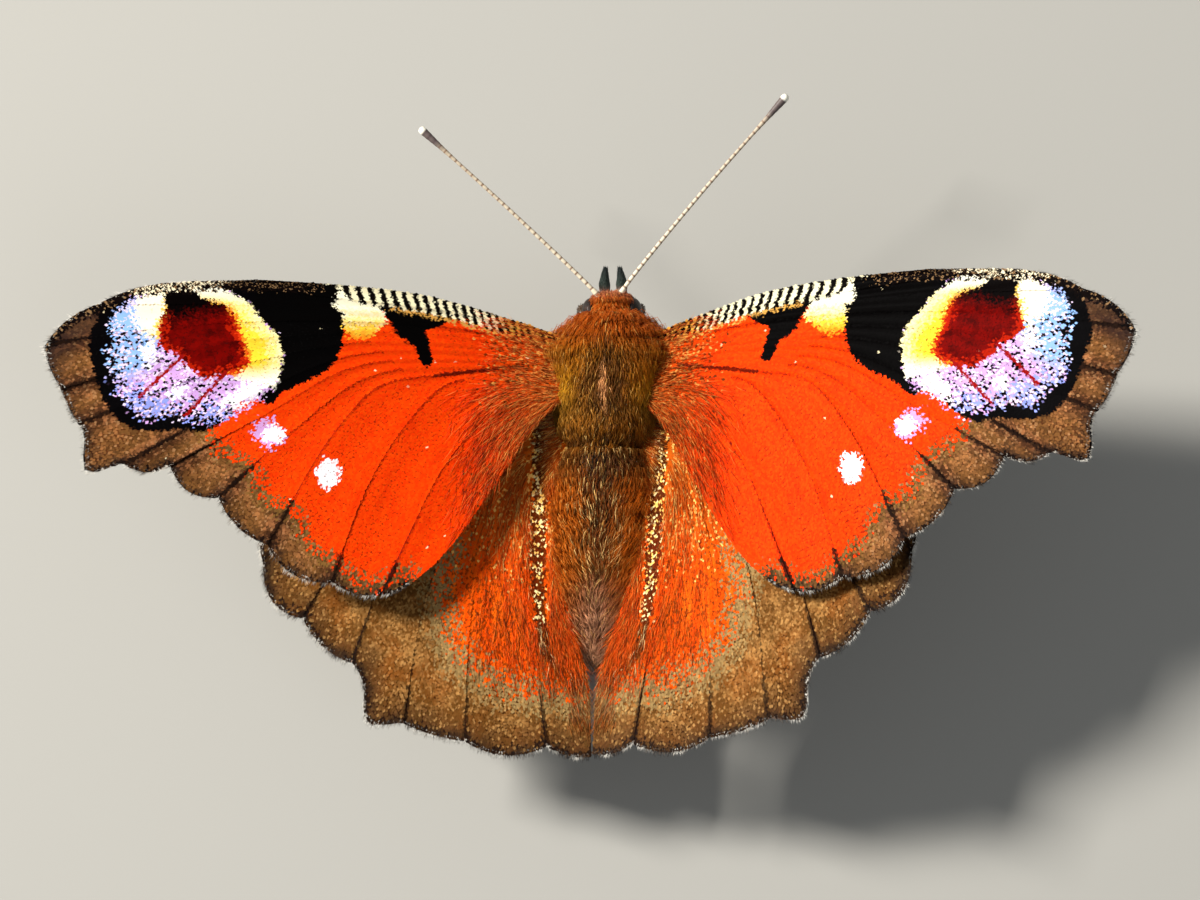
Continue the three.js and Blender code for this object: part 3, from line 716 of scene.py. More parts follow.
def marked(name, marks, painted_shade=0.0, **values):
    """A material that takes its colour from a marking group, darkened by its third argument as painted shade
    for a layer seen under and between others.
    """
    material, tree, bsdf = shader(name, **values)
    node = tree.nodes.new("ShaderNodeGroup")
    node.node_tree = marks
    mix = tree.nodes.new("ShaderNodeMix")
    mix.data_type, mix.blend_type = "RGBA", "MULTIPLY"
    mix.inputs[0].default_value = painted_shade
    mix.inputs[7].default_value = (0.42, 0.30, 0.26, 1)
    tree.links.new(node.outputs[0], mix.inputs[6])
    tree.links.new(mix.outputs[2], bsdf.inputs["Base Color"])
    return material


def emboss(tree, bsdf, height, distance, strength=1.0):
    """Fine relief by a height field; distance is its depth in millimetres."""
    bump = tree.nodes.new("ShaderNodeBump")
    bump.inputs["Distance"].default_value = distance * MM
    bump.inputs["Strength"].default_value = strength
    tree.links.new(height.socket, bump.inputs["Height"])
    tree.links.new(bump.outputs[0], bsdf.inputs["Normal"])


# Wing underside. Bark-like, near black, brushed with brown and crossed by fine wavy lines; it hides
# the insect when the wings are shut.
under, tree, bsdf = shader("wing_underside", Roughness=0.75, Specular_IOR_Level=0.08)
u, v = flat_place(tree)
q, s = flat_place(tree, "Course")
vein, margin = attribute(tree, "vein"), attribute(tree, "margin")
ripple = ((cloud(u, v, 0.8, 0.8, 3) * 34 + s * 24).math("SINE") + 1) * 0.5
coats = Coats(tree, attribute(tree, "shade"), "191310")
coats.lay("86694c", (ripple * 1.7 - 0.75 + (cloud(u, v, 3, 3, 4) - 0.5) * 2.0).clip() * 0.7)
coats.lay("0d0a09", ((cloud(u, v, 0.45, 0.45) - 0.45) * 5).clip() * 0.6)
coats.lay("94785a", (1.1 - abs(margin - 3.6) * 0.7).clip() * (cloud(u, v, 4, 4, 3) * 2.4 - 0.7).clip())
coats.lay("a8977c", (1 - abs(margin - 1.5 + (cloud(u, v, 1.2, 1.2) - 0.5) * 1.2) * 5).clip() * 0.5)
coats.lay("080606", (0.5 - (vein - 0.07) / 0.05).clip() * 0.8)
tree.links.new(coats.colour, bsdf.inputs["Base Color"])
emboss(tree, bsdf, cloud(q, s, 900, 160, 1), 0.03)

# The four wings: membrane with its two faces, 0.08 mm thick, and the scales on the upper one.
for form, kind, marks in ((FORE, "forewing", fore_marks), (HIND, "hindwing", hind_marks)):
    flakes = marked(kind + "_scales", marks, Roughness=0.6, Specular_IOR_Level=0.02)
    # The membrane takes the scales' markings darkened: painted shade where it shows under and between the
    # scales.
    film = marked(kind + "_membrane", marks, 1.0, Roughness=0.7, Specular_IOR_Level=0.05)
    for side in ("_left", "_right"):
        name = kind + side
        blade = link(name + "_membrane", membrane(form, name), film, under)
        wall = blade.modifiers.new("thickness", "SOLIDIFY")
        wall.thickness, wall.offset, wall.material_offset, wall.material_offset_rim = 0.08 * MM, -1, 1, 1
        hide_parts(name)
        dusting = link(name + "_scales", shingles(form, name, len(name)), flakes)


# Body skin. One closed shell from brow to tail stands for head, thorax and abdomen, and lies under
# the coat by the coat's depth. Stations hold y, centre z, half width, half height, coat depth.
STATIONS = np.array((
    (3.35, -1.00, 0.20, 0.22, 0.25), (3.2, -0.96, 0.60, 0.65, 0.30), (2.95, -0.90, 0.86, 0.92, 0.35),
    (2.7, -0.83, 0.96, 1.03, 0.40), (2.3, -0.78, 0.90, 0.95, 0.45), (1.95, -0.74, 0.80, 0.85, 0.55),
    (1.6, -0.70, 1.10, 1.10, 0.65), (1.1, -0.60, 1.65, 1.62, 0.62), (0.4, -0.50, 2.25, 2.02, 0.60),
    (-0.6, -0.40, 2.52, 2.22, 0.58), (-1.8, -0.35, 2.58, 2.28, 0.57), (-3.2, -0.40, 2.52, 2.22, 0.58),
    (-4.7, -0.60, 2.30, 2.02, 0.60), (-5.6, -0.74, 1.85, 1.62, 0.75), (-5.95, -0.78, 1.62, 1.45, 0.85),
    (-6.4, -0.80, 1.80, 1.60, 0.75), (-7.5, -0.85, 2.15, 1.82, 0.58), (-9.5, -0.95, 2.22, 1.84, 0.56),
    (-12.0, -1.05, 2.00, 1.68, 0.52), (-14.5, -1.15, 1.50, 1.36, 0.48), (-16.5, -1.25, 0.92, 0.94, 0.42),
    (-18.0, -1.35, 0.38, 0.48, 0.32), (-18.6, -1.40, 0.10, 0.14, 0.25)))
HEAD_X = 0.318


def midline(y):
    """How far the body's middle lies to the side at y."""
    return 0.03 * (y + 10)


def body_at(y, column):
    """A measure of the body at y, read between the stations."""
    return np.interp(-y, -STATIONS[:, 0], STATIONS[:, column])


def body_shell(y, turn, grow=0.0):
    """Points on the shell in millimetres, at y and at an angle from the insect's right over its back."""
    wide, high = body_at(y, 2), body_at(y, 3)
    ring = np.clip((-6.1 - y) / 1.5625, 0, 8)
    waist = np.where(y < -6.1, 0.07 * np.exp(-((ring % 1) / 0.12) ** 2), 0)
    puff = np.where((y < 1.5) & (y > -5.7), 0.10 * np.sin((y + 5.7) * 1.3) * np.cos(turn * 2), 0)
    wide, high = wide - waist + puff + grow, high - waist - puff * 0.5 + grow
    x = midline(y) - 0.06 * (y > 1.6) + wide * np.cos(turn)
    return np.column_stack([x, y, body_at(y, 1) + high * np.sin(turn)])


def sleeve(rings, sides, shape):
    """A closed skin: a ball whose latitude runs along a piece and whose longitude runs round it."""
    ball = bmesh.new()
    bmesh.ops.create_uvsphere(ball, u_segments=sides, v_segments=rings, radius=1)
    co = np.array([v.co for v in ball.verts])
    along = np.arccos(np.clip(co[:, 2], -1, 1)) / math.pi
    turn = np.arctan2(co[:, 1], co[:, 0])
    points = shape(along, turn)
    for v, point in zip(ball.verts, in_frame(points)):
        v.co = point
    bmesh.ops.recalc_face_normals(ball, faces=ball.faces)
    return ball, along, turn


def finish(ball, name, *materials, **values):
    """Puts a closed skin into the scene with the numbers that its materials read."""
    mesh = bpy.data.meshes.new(name)
    ball.to_mesh(mesh)
    ball.free()
    mesh.shade_smooth()
    carry(mesh, **values)
    return link(name, mesh, *materials)


def hull(along, turn):
    """The whole shell from brow to tail, drawn to a point at both ends."""
    y = 3.35 - 22.0 * along
    points = body_shell(y, turn)
    tips = (along < 1e-6) | (along > 1 - 1e-6)
    points[tips, 0], points[tips, 2] = midline(y[tips]), body_at(y[tips], 1)
    return points


body_marks, body_colour = marking("body markings")
x, y = flat_place(body_marks, "Root")
up, along, shade = (attribute(body_marks, n) for n in ("up", "along", "shade"))
off, clump = abs(x - midline(y)), cloud(x, y, 2.2, 2.2, 3)
coats = Coats(body_marks, shade, "b0680e")
coats.lay("c25a08", ((y + 0.4) * 0.9 + (clump - 0.5) * 1.2).clip())
# Painted light: the outer flanks of the thorax are lightened on both sides, to lift the flank that faces
# away from the lamp.
coats.lay("dc9428", (1 - abs(y + 2.8) / 3.4).clip() * ((off - 1.7) * 1.2).clip() * 0.8)
coats.lay("eaaa1c", (1 - abs(y + 2.5) / 1.9).clip() * ((off - 1.1) * 1.1).clip())
coats.lay("7c5016", (1 - abs(y + 3.6) / 2.0).clip() * 0.7)
coats.lay("54300c", coats.inside(spot(off, y, (0.0, -2.0), 1.15, 1.7), 0.7) * 0.75)
coats.lay("f0a868", coats.inside(spot(off, y, (0.0, -2.3), 0.20, 1.15), 0.2))
coats.lay("d06a10", ((-6.0 - y) * 0.8 + (clump - 0.5) * 1.8).clip())
coats.lay("6e3810", ((-6.0 - y) * 1.4).clip() * (1.25 - off * 0.85).clip() * 0.85)
coats.lay("dca078", ((-12.6 - y) * 0.34).clip() * (1.35 - off * 0.9).clip() * 0.75)
coats.lay("d08a68", ((y - 2.75) * 2.2).clip() * 0.7)
coats.lay("2a1606", (coats.luck() - 0.66).clip() * 1.6)
# Painted shade in the narrow waist: a dark brown strip at the front of the abdomen and a darker band at the
# rear edge of the thorax.
coats.lay("4e2c10", (1.2 - abs(y + 6.6 + (clump - 0.5) * 2) * 0.9).clip() * 0.75)
coats.lay("26150a", coats.inside(abs(y + 5.2) - 0.45 + (clump - 0.5) * 3, 0.5) * 0.6)
coats.lay("fcc060", coats.some(0.06, 0.05) * 0.6)
coats.lay("ffd080", coats.inside(spot(off, y, (0.0, -9.4), 1.2, 4.2), 0.8) * coats.some(0.16, 0.05))
coats.lay("1a0c04", coats.inside(spot(off, y, (0.0, -8.4), 1.0, 3.6), 1.0) * coats.some(0.3, 0.1) * 0.8)
coats.lay("1c0d04", coats.inside(off - 0.14, 0.1) * coats.inside(abs(y + 0.2) - 0.7, 0.5) * 0.6)
coats.lay("2b211a", (up * -1.2 - 0.15).clip())
coats.lay("1c0f04", ((0.5 - along) * 1.1).clip() * 0.7)
body_marks.links.new(coats.colour, body_colour)

body_skin = marked("body_skin", body_marks, Roughness=0.5)
body_coat = marked("body_coat", body_marks, Roughness=0.6, Specular_IOR_Level=0.15)


ball, along, turn = sleeve(150, 48, hull)
torso = finish(ball, "body_skin", body_skin, along=np.full(len(along), 0.1), up=np.sin(turn),
               shade=np.full(len(along), 0.5))
lay_uv(torso.data, "Root", on_map("Root", hull(along, turn)))
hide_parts("head", "thorax", "abdomen")


# Coat. Long hair-like scales, fine and waxy, root in the skin and are combed back over the body;
# they are short on the face, longest on the shoulders and in a fringe down each flank.
TUFT = ((0, 1, 4), (0, 4, 3), (1, 2, 5), (1, 5, 4), (2, 0, 3), (2, 3, 5), (3, 4, 6), (4, 5, 6), (5, 3, 6),
        (0, 2, 1))
TUFT_ALONG = (0, 0, 0, 0.55, 0.55, 0.55, 1)


def tufts(root, normal, comb, length, width, rise, rng):
    """Three-sided hairs that leave the skin by rise of their length and then lie along the comb."""
    beside = np.cross(normal, comb)
    beside /= np.linalg.norm(beside, axis=1)[:, None]
    comb = np.cross(beside, normal)
    sway = rng.normal(0, 0.16, (len(root), 1))
    comb = comb + beside * sway
    length, width, rise = (np.broadcast_to(a, len(root))[:, None] for a in (length, width, rise))
    knee = root + (normal * rise * 1.25 + comb * 0.38) * length
    tip = root + (normal * rise + comb * (1 - rise ** 2) ** 0.5) * length
    tip = tip + beside * rng.normal(0, 0.08, (len(root), 1)) * length
    rings = []
    for centre, size in ((root - normal * 0.05, 1.0), (knee, 0.8)):
        for k in range(3):
            a = math.tau * k / 3 + 0.5
            rings.append(centre + (beside * math.cos(a) + normal * math.sin(a) * 0.8) * width * size / 2)
    return np.stack([*rings, tip], axis=1)


def per_hair(values):
    """Each hair's value at all of its corners."""
    return np.repeat(values, len(TUFT_ALONG), axis=0)


def lay_bake(mesh, spots):
    """One small patch of the flat map for each hair, at its root's place."""
    patch = np.array(((-1, -1), (0, -1), (1, -1), (-1, 0.5), (0, 0.5), (1, 0.5), (0, 1.5))) * 0.001
    lay_uv(mesh, "OFBake", per_hair(spots) + np.tile(patch, (len(spots), 1)))


def down(y, table):
    """A value read at y from a table that runs from front to rear."""
    return np.interp(-y, [-a for a, _ in table], [b for _, b in table])


def coat_over(name, seed, count, reach, width, length, rise, flare, jut):
    """Hair over the body between two stations. Tables of y against value give its length, its rise,
    how far it flares from the midline (or closes on it), and how much more the flanks stand out."""
    rng = np.random.default_rng(seed)
    y = rng.uniform(*reach[::-1], count * 3)
    keep = rng.random(count * 3) < (body_at(y, 2) + body_at(y, 3)) / 5.2
    y = y[keep][:count]
    turn = rng.uniform(0, math.tau, len(y))
    root = body_shell(y, turn)
    ahead = body_shell(y - 0.05, turn) - root
    round_it = body_shell(y, turn + 0.02) - root
    normal = np.cross(ahead, round_it)
    normal /= np.linalg.norm(normal, axis=1)[:, None]
    outward = root - np.column_stack([midline(y), y, body_at(y, 1)])
    normal *= np.sign((normal * outward).sum(1))[:, None]
    comb = ahead / np.linalg.norm(ahead, axis=1)[:, None]
    comb[:, 0] += np.cos(turn) * down(y, flare)
    comb[:, 2] -= 0.25 * (np.sin(turn) < 0)
    swirl = np.sin(y * 2.1 + 1.3 * np.sin(turn * 3)) * 0.15
    comb = comb + round_it / np.linalg.norm(round_it, axis=1)[:, None] * swirl[:, None]
    flank = np.abs(np.cos(turn)) ** 2 * down(y, jut)
    size = down(y, length) * rng.uniform(0.7, 1.1, len(y)) * (1 + flank * 0.6)
    girth = width * rng.uniform(0.7, 1.3, len(y))
    lean = np.clip(down(y, rise) * rng.uniform(0.6, 1.1, len(y)) + flank, 0.05, 0.9)
    mesh = joined(name, in_frame(tufts(root, normal, comb, size, girth, lean, rng)), TUFT)
    carry(mesh, along=np.tile(TUFT_ALONG, len(y)), up=per_hair(np.sin(turn)),
          shade=per_hair(rng.random(len(y))))
    lay_uv(mesh, "Root", per_hair(on_map("Root", root)))
    lay_bake(mesh, np.column_stack([turn / math.tau * 0.98 + 0.01, (y + 19) / 24]))
    link(name, mesh, body_coat)


coat_over("coat_head", 11, 12000, (3.3, 1.5), 0.040,
          length=((3.3, 0.40), (2.6, 0.8), (1.5, 1.3)),
          rise=((3.3, 0.5), (1.5, 0.45)),
          flare=((3.3, 0.5), (2.7, 1.3), (2.0, 1.0), (1.5, 0.5)),
          jut=((3.3, 0.1), (1.5, 0.05)))
coat_over("coat_thorax", 12, 19500, (1.9, -5.9), 0.046,
          length=((1.9, 1.45), (0, 1.3), (-4.6, 1.25), (-5.9, 0.8)),
          rise=((1.9, 0.42), (-3, 0.38), (-5.9, 0.45)),
          flare=((1.9, 0.3), (0.6, 0.5), (-1, 0.4), (-5.9, 0.1)),
          jut=((1.9, 0.05), (0.6, 0.25), (-0.4, 0.4), (-1.4, 0.0)))
coat_over("coat_abdomen", 13, 19500, (-5.6, -18.5), 0.042,
          length=((-5.6, 1.2), (-12, 1.5), (-17, 1.4), (-18.5, 1.0)),
          rise=((-5.6, 0.4), (-18.5, 0.3)),
          flare=((-5.6, 0.2), (-8, -0.35), (-12, -0.8), (-18.5, -0.9)),
          jut=((-6, 0.1), (-9, 0.3), (-18.5, 0.3)))


# Wing hair. Long soft hairs spread from the hinges over the wing bases and down the inner part of
# each hindwing, and lean over the body's flanks; a short pale and dark fringe edges every wing.
def hairy(name, marks, dark, glint):
    """Hair in its wing's own colours, redder, with dark and bright single hairs."""
    material, tree, bsdf = shader(name, Roughness=0.6, Specular_IOR_Level=0.15)
    node = tree.nodes.new("ShaderNodeGroup")
    node.node_tree = marks
    along, shade = attribute(tree, "along"), attribute(tree, "shade")
    coats = Coats(tree, shade, node.outputs[0])
    coats.lay("e0640e", coats.luck() * 0.5)
    coats.lay(dark, coats.some(0.16, 0.2) * 0.8)
    coats.lay(glint, coats.some(0.10, 0.1) * (along - 0.2).clip())
    coats.lay("4a2006", ((0.4 - along) * 1.3).clip() * 0.35)
    tree.links.new(coats.colour, bsdf.inputs["Base Color"])
    return material


def wing_hair(form, name, label, material, seed, count, length, rise, amount, inward, reach=(0, 0.92)):
    """Hairs over part of a wing. amount is their share at u and v, inward their lean to the body."""
    rng = np.random.default_rng(seed)
    cell, f = rng.integers(0, len(form["veins"]) - 1, count * 8), rng.uniform(0, 0.97, count * 8)
    s = rng.uniform(*reach, count * 8)
    p, ahead, _, up, _ = ground(form, cell, f, s)
    width = np.linalg.norm(spread(form, cell, f + 0.02, s)[0] - p[:, :2], axis=1)
    keep = rng.random(len(p)) < amount(p[:, 0], p[:, 1]) * np.clip(width / 0.03, 0, 1)
    p, ahead, up, cell, f, s = (a[keep][:count] for a in (p, ahead, up, cell, f, s))
    inward = inward(p[:, 0], p[:, 1]) if callable(inward) else np.full(len(p), inward)
    comb = ahead + np.column_stack([-inward, np.zeros(len(p)), np.zeros(len(p))])
    comb += rng.normal(0, 0.07, comb.shape) * (1, 1, 0)
    comb -= up * (comb * up).sum(1)[:, None]
    comb /= np.linalg.norm(comb, axis=1)[:, None]
    size = length * rng.uniform(0.6, 1.15, len(p))
    girth = 0.034 * rng.uniform(0.7, 1.3, len(p))
    corners = tufts(p, up, comb, size, girth, rise * rng.uniform(0.5, 1.5, len(p)), rng)
    mesh = joined(name + label, place(form, name, corners), facing(name, TUFT))
    far = per_hair(np.full(len(p), 9.0))
    carry(mesh, along=np.tile(TUFT_ALONG, len(p)), shade=per_hair(rng.random(len(p))),
          vein=far, costa=far, margin=per_hair(gap_to(p[:, :2], form["margin"])))
    lay_uv(mesh, "Planform", per_hair(on_map("Planform", p)))
    lay_uv(mesh, "Course", per_hair(np.column_stack([(cell + f) / 12, s])))
    lay_bake(mesh, on_map("Planform", p))
    link(name + label, mesh, material)


def on_forewing(u, v):
    return np.clip((4.2 - u + v * 0.2) / 5, 0, 1) * np.clip(0.9 - v * 0.5, 0.1, 1) * (u > -1.2)


def behind_forewing(u, v):
    return np.clip((5.5 - u) / 3, 0, 1) * (v < -2.6) * np.clip((-2.2 - v) / 2, 0, 1)


def on_hindwing(u, v):
    """Sparse on the band of golden scales, and none over its middle."""
    field = np.clip((5.2 - u) / 3.4, 0, 1) * np.clip((v + 18.0) / 4, 0, 1)
    field = field * ((np.abs(u - 1.05) > 0.55) | (v < -13.5)) * ((u > -0.3) | (v < -13))
    return field * np.where(u < 0.4, 0.8, np.where(v > -12, 0.22, 0.4))


def on_inner_edge(u, v):
    return (u < -0.7) * (v < -15.5) * (v > -19.9) * 1.0


def to_midline(u, v):
    return np.clip(0.05 - u * 0.2, 0, 0.2) * (v > -15)


fore_hair = hairy("forewing_hair", fore_marks, "4a1404", "f0a84a")
hind_hair = hairy("hindwing_hair", hind_marks, "5a1e04", "f0a040")
fringe, tree, bsdf = shader("wing_fringe", Roughness=0.6)
u, v = flat_place(tree)
coats = Coats(tree, attribute(tree, "shade"), "1e1613")
coats.lay("6b5a48", coats.some(0.25, 0.1))
coats.lay("d4cfc4", coats.some(0.8, 0.1) * ((cloud(u, v, 0.9, 0.9) - 0.40) * 7).clip())
tree.links.new(coats.colour, bsdf.inputs["Base Color"])
for side in ("left", "right"):
    fore, hind = "forewing_" + side, "hindwing_" + side
    wing_hair(FORE, fore, "_hair", fore_hair, 21, 4000, 0.9, 0.12, on_forewing, 0.1)
    wing_hair(FORE, fore, "_rear_hair", fore_hair, 25, 3500, 1.7, 0.05, behind_forewing, 0.12)
    wing_hair(HIND, hind, "_hair", hind_hair, 22, 9000, 1.5, 0.035, on_hindwing, to_midline)
    wing_hair(HIND, hind, "_edge_hair", hind_hair, 24, 1500, 1.1, 0.03, on_inner_edge, 0.30, (0.6, 0.95))
    for form, name in ((FORE, fore), (HIND, hind)):
        wing_hair(form, name, "_fringe", fringe, 23, 2200, 0.42, 0.02, lambda u, v: 1.0, 0.0, (0.985, 0.999))


# Eyes. Large compound eyes, brown-black, domed and set with thousands of lenses, one each side of
# the head and half sunk in its fur.
lens, tree, bsdf = shader("eye_lens", Roughness=0.45, Specular_IOR_Level=0.25, Coat_Weight=0.06)
spot_node = tree.nodes.new("ShaderNodeTexCoord")
lenses, noise = tree.nodes.new("ShaderNodeTexVoronoi"), tree.nodes.new("ShaderNodeTexNoise")
lenses.feature = "DISTANCE_TO_EDGE"
for node, scale in ((lenses, 16000), (noise, 1500)):
    node.inputs["Scale"].default_value = scale
    tree.links.new(spot_node.outputs["Object"], node.inputs["Vector"])
seam, mottle = Field(tree, lenses.outputs["Distance"]), Field(tree, noise.outputs["Fac"])
coats = Coats(tree, mottle, "1c120d")
coats.lay("4a2c1c", ((mottle - 0.45) * 4).clip())
coats.lay("0a0605", (1 - seam * 9).clip() * 0.7)
tree.links.new(coats.colour, bsdf.inputs["Base Color"])
emboss(tree, bsdf, (seam * 6).clip(), 0.02, 0.45)
for side, name in ((-1, "left"), (1, "right")):
    def dome(along, turn):
        t = along * math.pi
        ball = np.column_stack([np.cos(t), np.sin(t) * np.cos(turn), np.sin(t) * np.sin(turn)])
        return ball * (0.53, 0.82, 0.92) + (HEAD_X + side * 1.24, 2.24, -0.80)

    ball, along, turn = sleeve(40, 48, dome)
    eye = finish(ball, "eye_dome_" + name, lens)
    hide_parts("eye_" + name)


# Antennae. Long shafts of short pale and brown rings that swell to a grey-brown club with a white
# tip. Like every limb they are one skin drawn along a smooth course, and none goes below the soles.
SOLE, LIMB_STEPS = -7.99, 399


def above_floor(points):
    points[..., 2] = np.maximum(points[..., 2], SOLE)
    return points


def limb(name, material, course_points, radius, rings, sides=14):
    """A tube along a smooth course. radius gives the half width at each share of the way."""
    path = course(course_points, LIMB_STEPS + 1)
    ahead = np.gradient(path, axis=0)
    ahead /= np.linalg.norm(ahead, axis=1)[:, None]
    up = np.empty_like(path)
    lead = np.array((0.0, 0.0, 1.0)) if abs(ahead[0, 2]) < 0.9 else np.array((0.0, 1.0, 0.0))
    for k, t in enumerate(ahead):
        lead = lead - t * (lead @ t)
        lead = lead / np.linalg.norm(lead)
        up[k] = lead
    beside = np.cross(ahead, up)

    def shape(along, turn):
        t = np.clip(along, 0, 1)
        steps = np.linspace(0, 1, LIMB_STEPS + 1)
        middle, side, top = (np.column_stack([np.interp(t, steps, line) for line in table.T])
                             for table in (path, beside, up))
        size = radius(t) * np.where((along < 1e-6) | (along > 1 - 1e-6), 0, 1)
        ring = side * np.cos(turn)[:, None] + top * np.sin(turn)[:, None]
        return above_floor(middle + ring * size[:, None])

    ball, along, turn = sleeve(rings, sides, shape)
    length = np.linalg.norm(np.diff(path, axis=0), axis=1).sum()
    return finish(ball, name, material, run=along * length, share=along), (path, ahead, up, beside)


def rounded(t, ends=0.04):
    """Closes a tube's ends with a short dome."""
    near = np.clip(np.minimum(t, 1 - t) / ends, 0, 1)
    return (1 - (1 - near) ** 2) ** 0.5


def bristles(name, material, track, radius, count, length, width, rise, reach):
    """Hairs or spines round a limb between two shares of its length, leaning to its end."""
    rng = np.random.default_rng(31)
    t, turn = rng.uniform(*reach, count), rng.uniform(0, math.tau, count)
    path, ahead, up, beside = (table[(t * LIMB_STEPS).astype(int)] for table in track)
    normal = beside * np.cos(turn)[:, None] + up * np.sin(turn)[:, None]
    size = length * rng.uniform(0.6, 1.1, count)
    corners = tufts(path + normal * radius(t)[:, None], normal, ahead, size, width, rise, rng)
    mesh = joined(name, in_frame(above_floor(corners)), TUFT)
    carry(mesh, run=per_hair(t * 5), share=per_hair(t))
    lay_bake(mesh, np.column_stack([turn / math.tau * 0.98 + 0.01, t * 0.98 + 0.01]))
    link(name, mesh, material)


def club(t):
    """Half width of an antenna, with its root, its club and a swelling at each ring."""
    girth = np.interp(t, [0, 0.03, 0.06, 0.80, 0.88, 0.94, 0.98, 1],
                      [0.22, 0.18, 0.118, 0.098, 0.14, 0.2, 0.24, 0.22])
    return rounded(t, 0.012) * (girth + 0.005 * np.cos(t * math.tau * 42))


banded, tree, bsdf = shader("antenna_horn", Roughness=0.55)
run, share = attribute(tree, "run"), attribute(tree, "share")
coats = Coats(tree, run, "8c705a")
band = abs((run / 0.42).math("FRACT") - 0.5)
coats.lay("e4d8bc", ((0.43 - band) * 8).clip() * (1.05 - share * 0.7).clip())
coats.lay("4e4042", ((share - 0.86) * 20).clip() * 0.9)
coats.lay("fbf6e4", ((share - 0.972) * 120).clip())
tree.links.new(coats.colour, bsdf.inputs["Base Color"])
for side, name, points in (
        (-1, "left", ((-0.3, 2.9, -0.3), (-0.7, 3.35, -0.1), (-5, 7.35, 1.2), (-10.9, 12.6, 2.5))),
        (1, "right", ((0.7, 2.9, -0.3), (1, 3.4, -0.1), (5.55, 8.8, 1.2), (10.7, 14.45, 2.5)))):
    feeler = limb("antenna_shaft_" + name, banded, points, club, rings=260)[0]
    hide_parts("antenna_" + name)


# Legs. The forelegs are short hairy brushes held under the face; the other four carry the body,
# with hairy thighs, spiny shins, five-jointed feet and paired claws.
horn, tree, bsdf = shader("leg_horn", Roughness=0.42)
run, share = attribute(tree, "run"), attribute(tree, "share")
coats = Coats(tree, run, "3a2a1e")
coats.lay("7a5a3c", ((share - 0.55) * 4).clip() * 0.8)
coats.lay("1a120d", (cloud(run, share, 3, 9, 3) - 0.42).clip() * 3.5)
tree.links.new(coats.colour, bsdf.inputs["Base Color"])
LEGS = {
    "foreleg": ((1.0, 0.3, -1.7, 0.34), (1.35, 0.75, -3.3, 0.34), (1.7, 2.7, -3.1, 0.3),
                (1.75, 3.05, -3.5, 0.28), (1.65, 1.5, -4.15, 0.25)),
    "midleg": ((1.1, -0.9, -2, 0.5), (1.9, -0.6, -3.7, 0.45), (2.5, -0.35, -3.95, 0.42),
               (4.9, 0.75, -2.95, 0.36), (5.3, 1.0, -3.3, 0.33), (6.4, 1.95, -7.1, 0.27),
               (6.8, 2.3, -7.7, 0.27), (8.5, 3.75, -7.77, 0.26)),
    "hindleg": ((1.1, -3.4, -2, 0.5), (1.9, -3.9, -3.6, 0.45), (2.4, -4.4, -3.85, 0.42),
                (4.6, -7.6, -3, 0.36), (4.9, -8.1, -3.3, 0.33), (6, -11.3, -7.1, 0.27),
                (6.2, -12, -7.7, 0.27), (7.1, -15, -7.77, 0.26))}
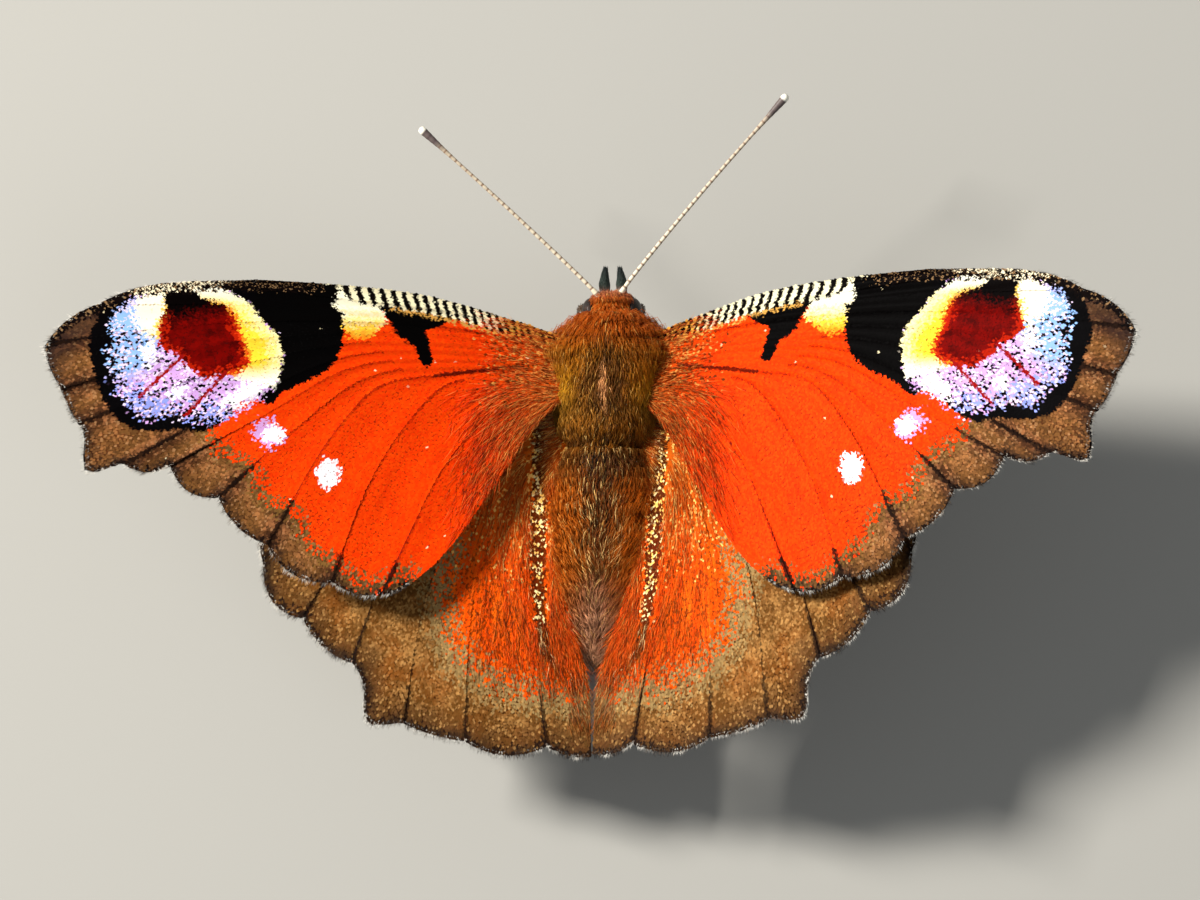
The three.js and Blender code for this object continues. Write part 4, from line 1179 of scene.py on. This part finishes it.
for kind, points in LEGS.items():
    for side, name in ((-1, "left"), (1, "right")):
        table = np.array(points)
        spine = table[:, :3] * (side, 1, 1)
        step = np.concatenate([[0], np.cumsum(np.linalg.norm(np.diff(spine, axis=0), axis=1))])
        foot, girth = step[-2] / step[-1], table[:, 3] * 0.8

        def radius(t):
            pinch = np.abs(np.cos((t - foot) / (1 - foot) * math.pi * 5)) ** 8 * (t > foot)
            return rounded(t, 0.02) * np.interp(t * step[-1], step, girth) * (1 - 0.25 * pinch)

        leg, track = limb(kind + "_horn_" + name, horn, spine, radius, rings=200)
        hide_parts(kind + "_" + name)
        bristles(kind + "_hair_" + name, horn, track, radius, 900, 0.38, 0.03, 0.25, (0.02, 0.5))
        bristles(kind + "_down_" + name, horn, track, radius, 700, 0.20, 0.03, 0.3, (0.5, 0.98))
        if kind != "foreleg":
            bristles(kind + "_spines_" + name, horn, track, radius, 70, 0.34, 0.06, 0.5, (0.45, 0.97))
            path, ahead, up, beside = (part[-1] for part in track)
            claws = tufts(np.array([path, path]) - ahead * 0.06, np.array([beside, -beside]),
                          np.array([ahead, ahead]), 0.36, 0.11, 0.5, np.random.default_rng(5))
            mesh = joined(kind + "_claws_" + name, in_frame(above_floor(claws)), TUFT)
            carry(mesh, run=np.zeros(14), share=np.zeros(14))
            link(kind + "_claws_" + name, mesh, horn)


# Palps. Two slender pointed feelers stand forward from the face, dark green-grey and shaggy with
# short scales, paler and pinkish where they leave the brow.
palp_horn, tree, bsdf = shader("palp_scales", Roughness=0.6)
share = attribute(tree, "share")
coats = Coats(tree, share, "3c4a42")
coats.lay("16201f", ((share - 0.35) * 2).clip())
coats.lay("b08a7c", ((0.3 - share) * 5).clip())
tree.links.new(coats.colour, bsdf.inputs["Base Color"])


def palp_width(t):
    return rounded(t, 0.05) * np.interp(t, [0, 0.3, 0.65, 1], [0.25, 0.28, 0.17, 0.02])


for side, name in ((-1, "left"), (1, "right")):
    spine = ((0.5, 3.3, -1.3), (0.5, 4.1, -1.0), (0.42, 4.85, -0.6))
    points = [(HEAD_X + side * x, y, z) for x, y, z in spine]
    palp, track = limb("palp_horn_" + name, palp_horn, points, palp_width, rings=40)
    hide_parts("palp_" + name)
    bristles("palp_scales_" + name, palp_horn, track, palp_width, 1400, 0.30, 0.035, 0.14, (0.0, 0.92))


# Tongue. A dark ringed tube coiled like a watch spring under the face.
tongue, tree, bsdf = shader("tongue_horn", Roughness=0.35)
run = attribute(tree, "run")
coats = Coats(tree, run, "33231a")
coats.lay("160e0a", ((run * 40).math("SINE") * 0.5 + 0.2).clip())
tree.links.new(coats.colour, bsdf.inputs["Base Color"])
turns = np.linspace(0, 0.9 * math.tau, 40)
reach = 1.0 - 0.62 * turns / turns[-1]
coil = np.column_stack([np.full(40, HEAD_X), 3.1 + reach * np.sin(turns), -3.5 + reach * np.cos(turns)])
coiled = limb("proboscis_coil", tongue, coil, lambda t: rounded(t, 0.03) * (0.24 - 0.11 * t), rings=160)[0]
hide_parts("proboscis")
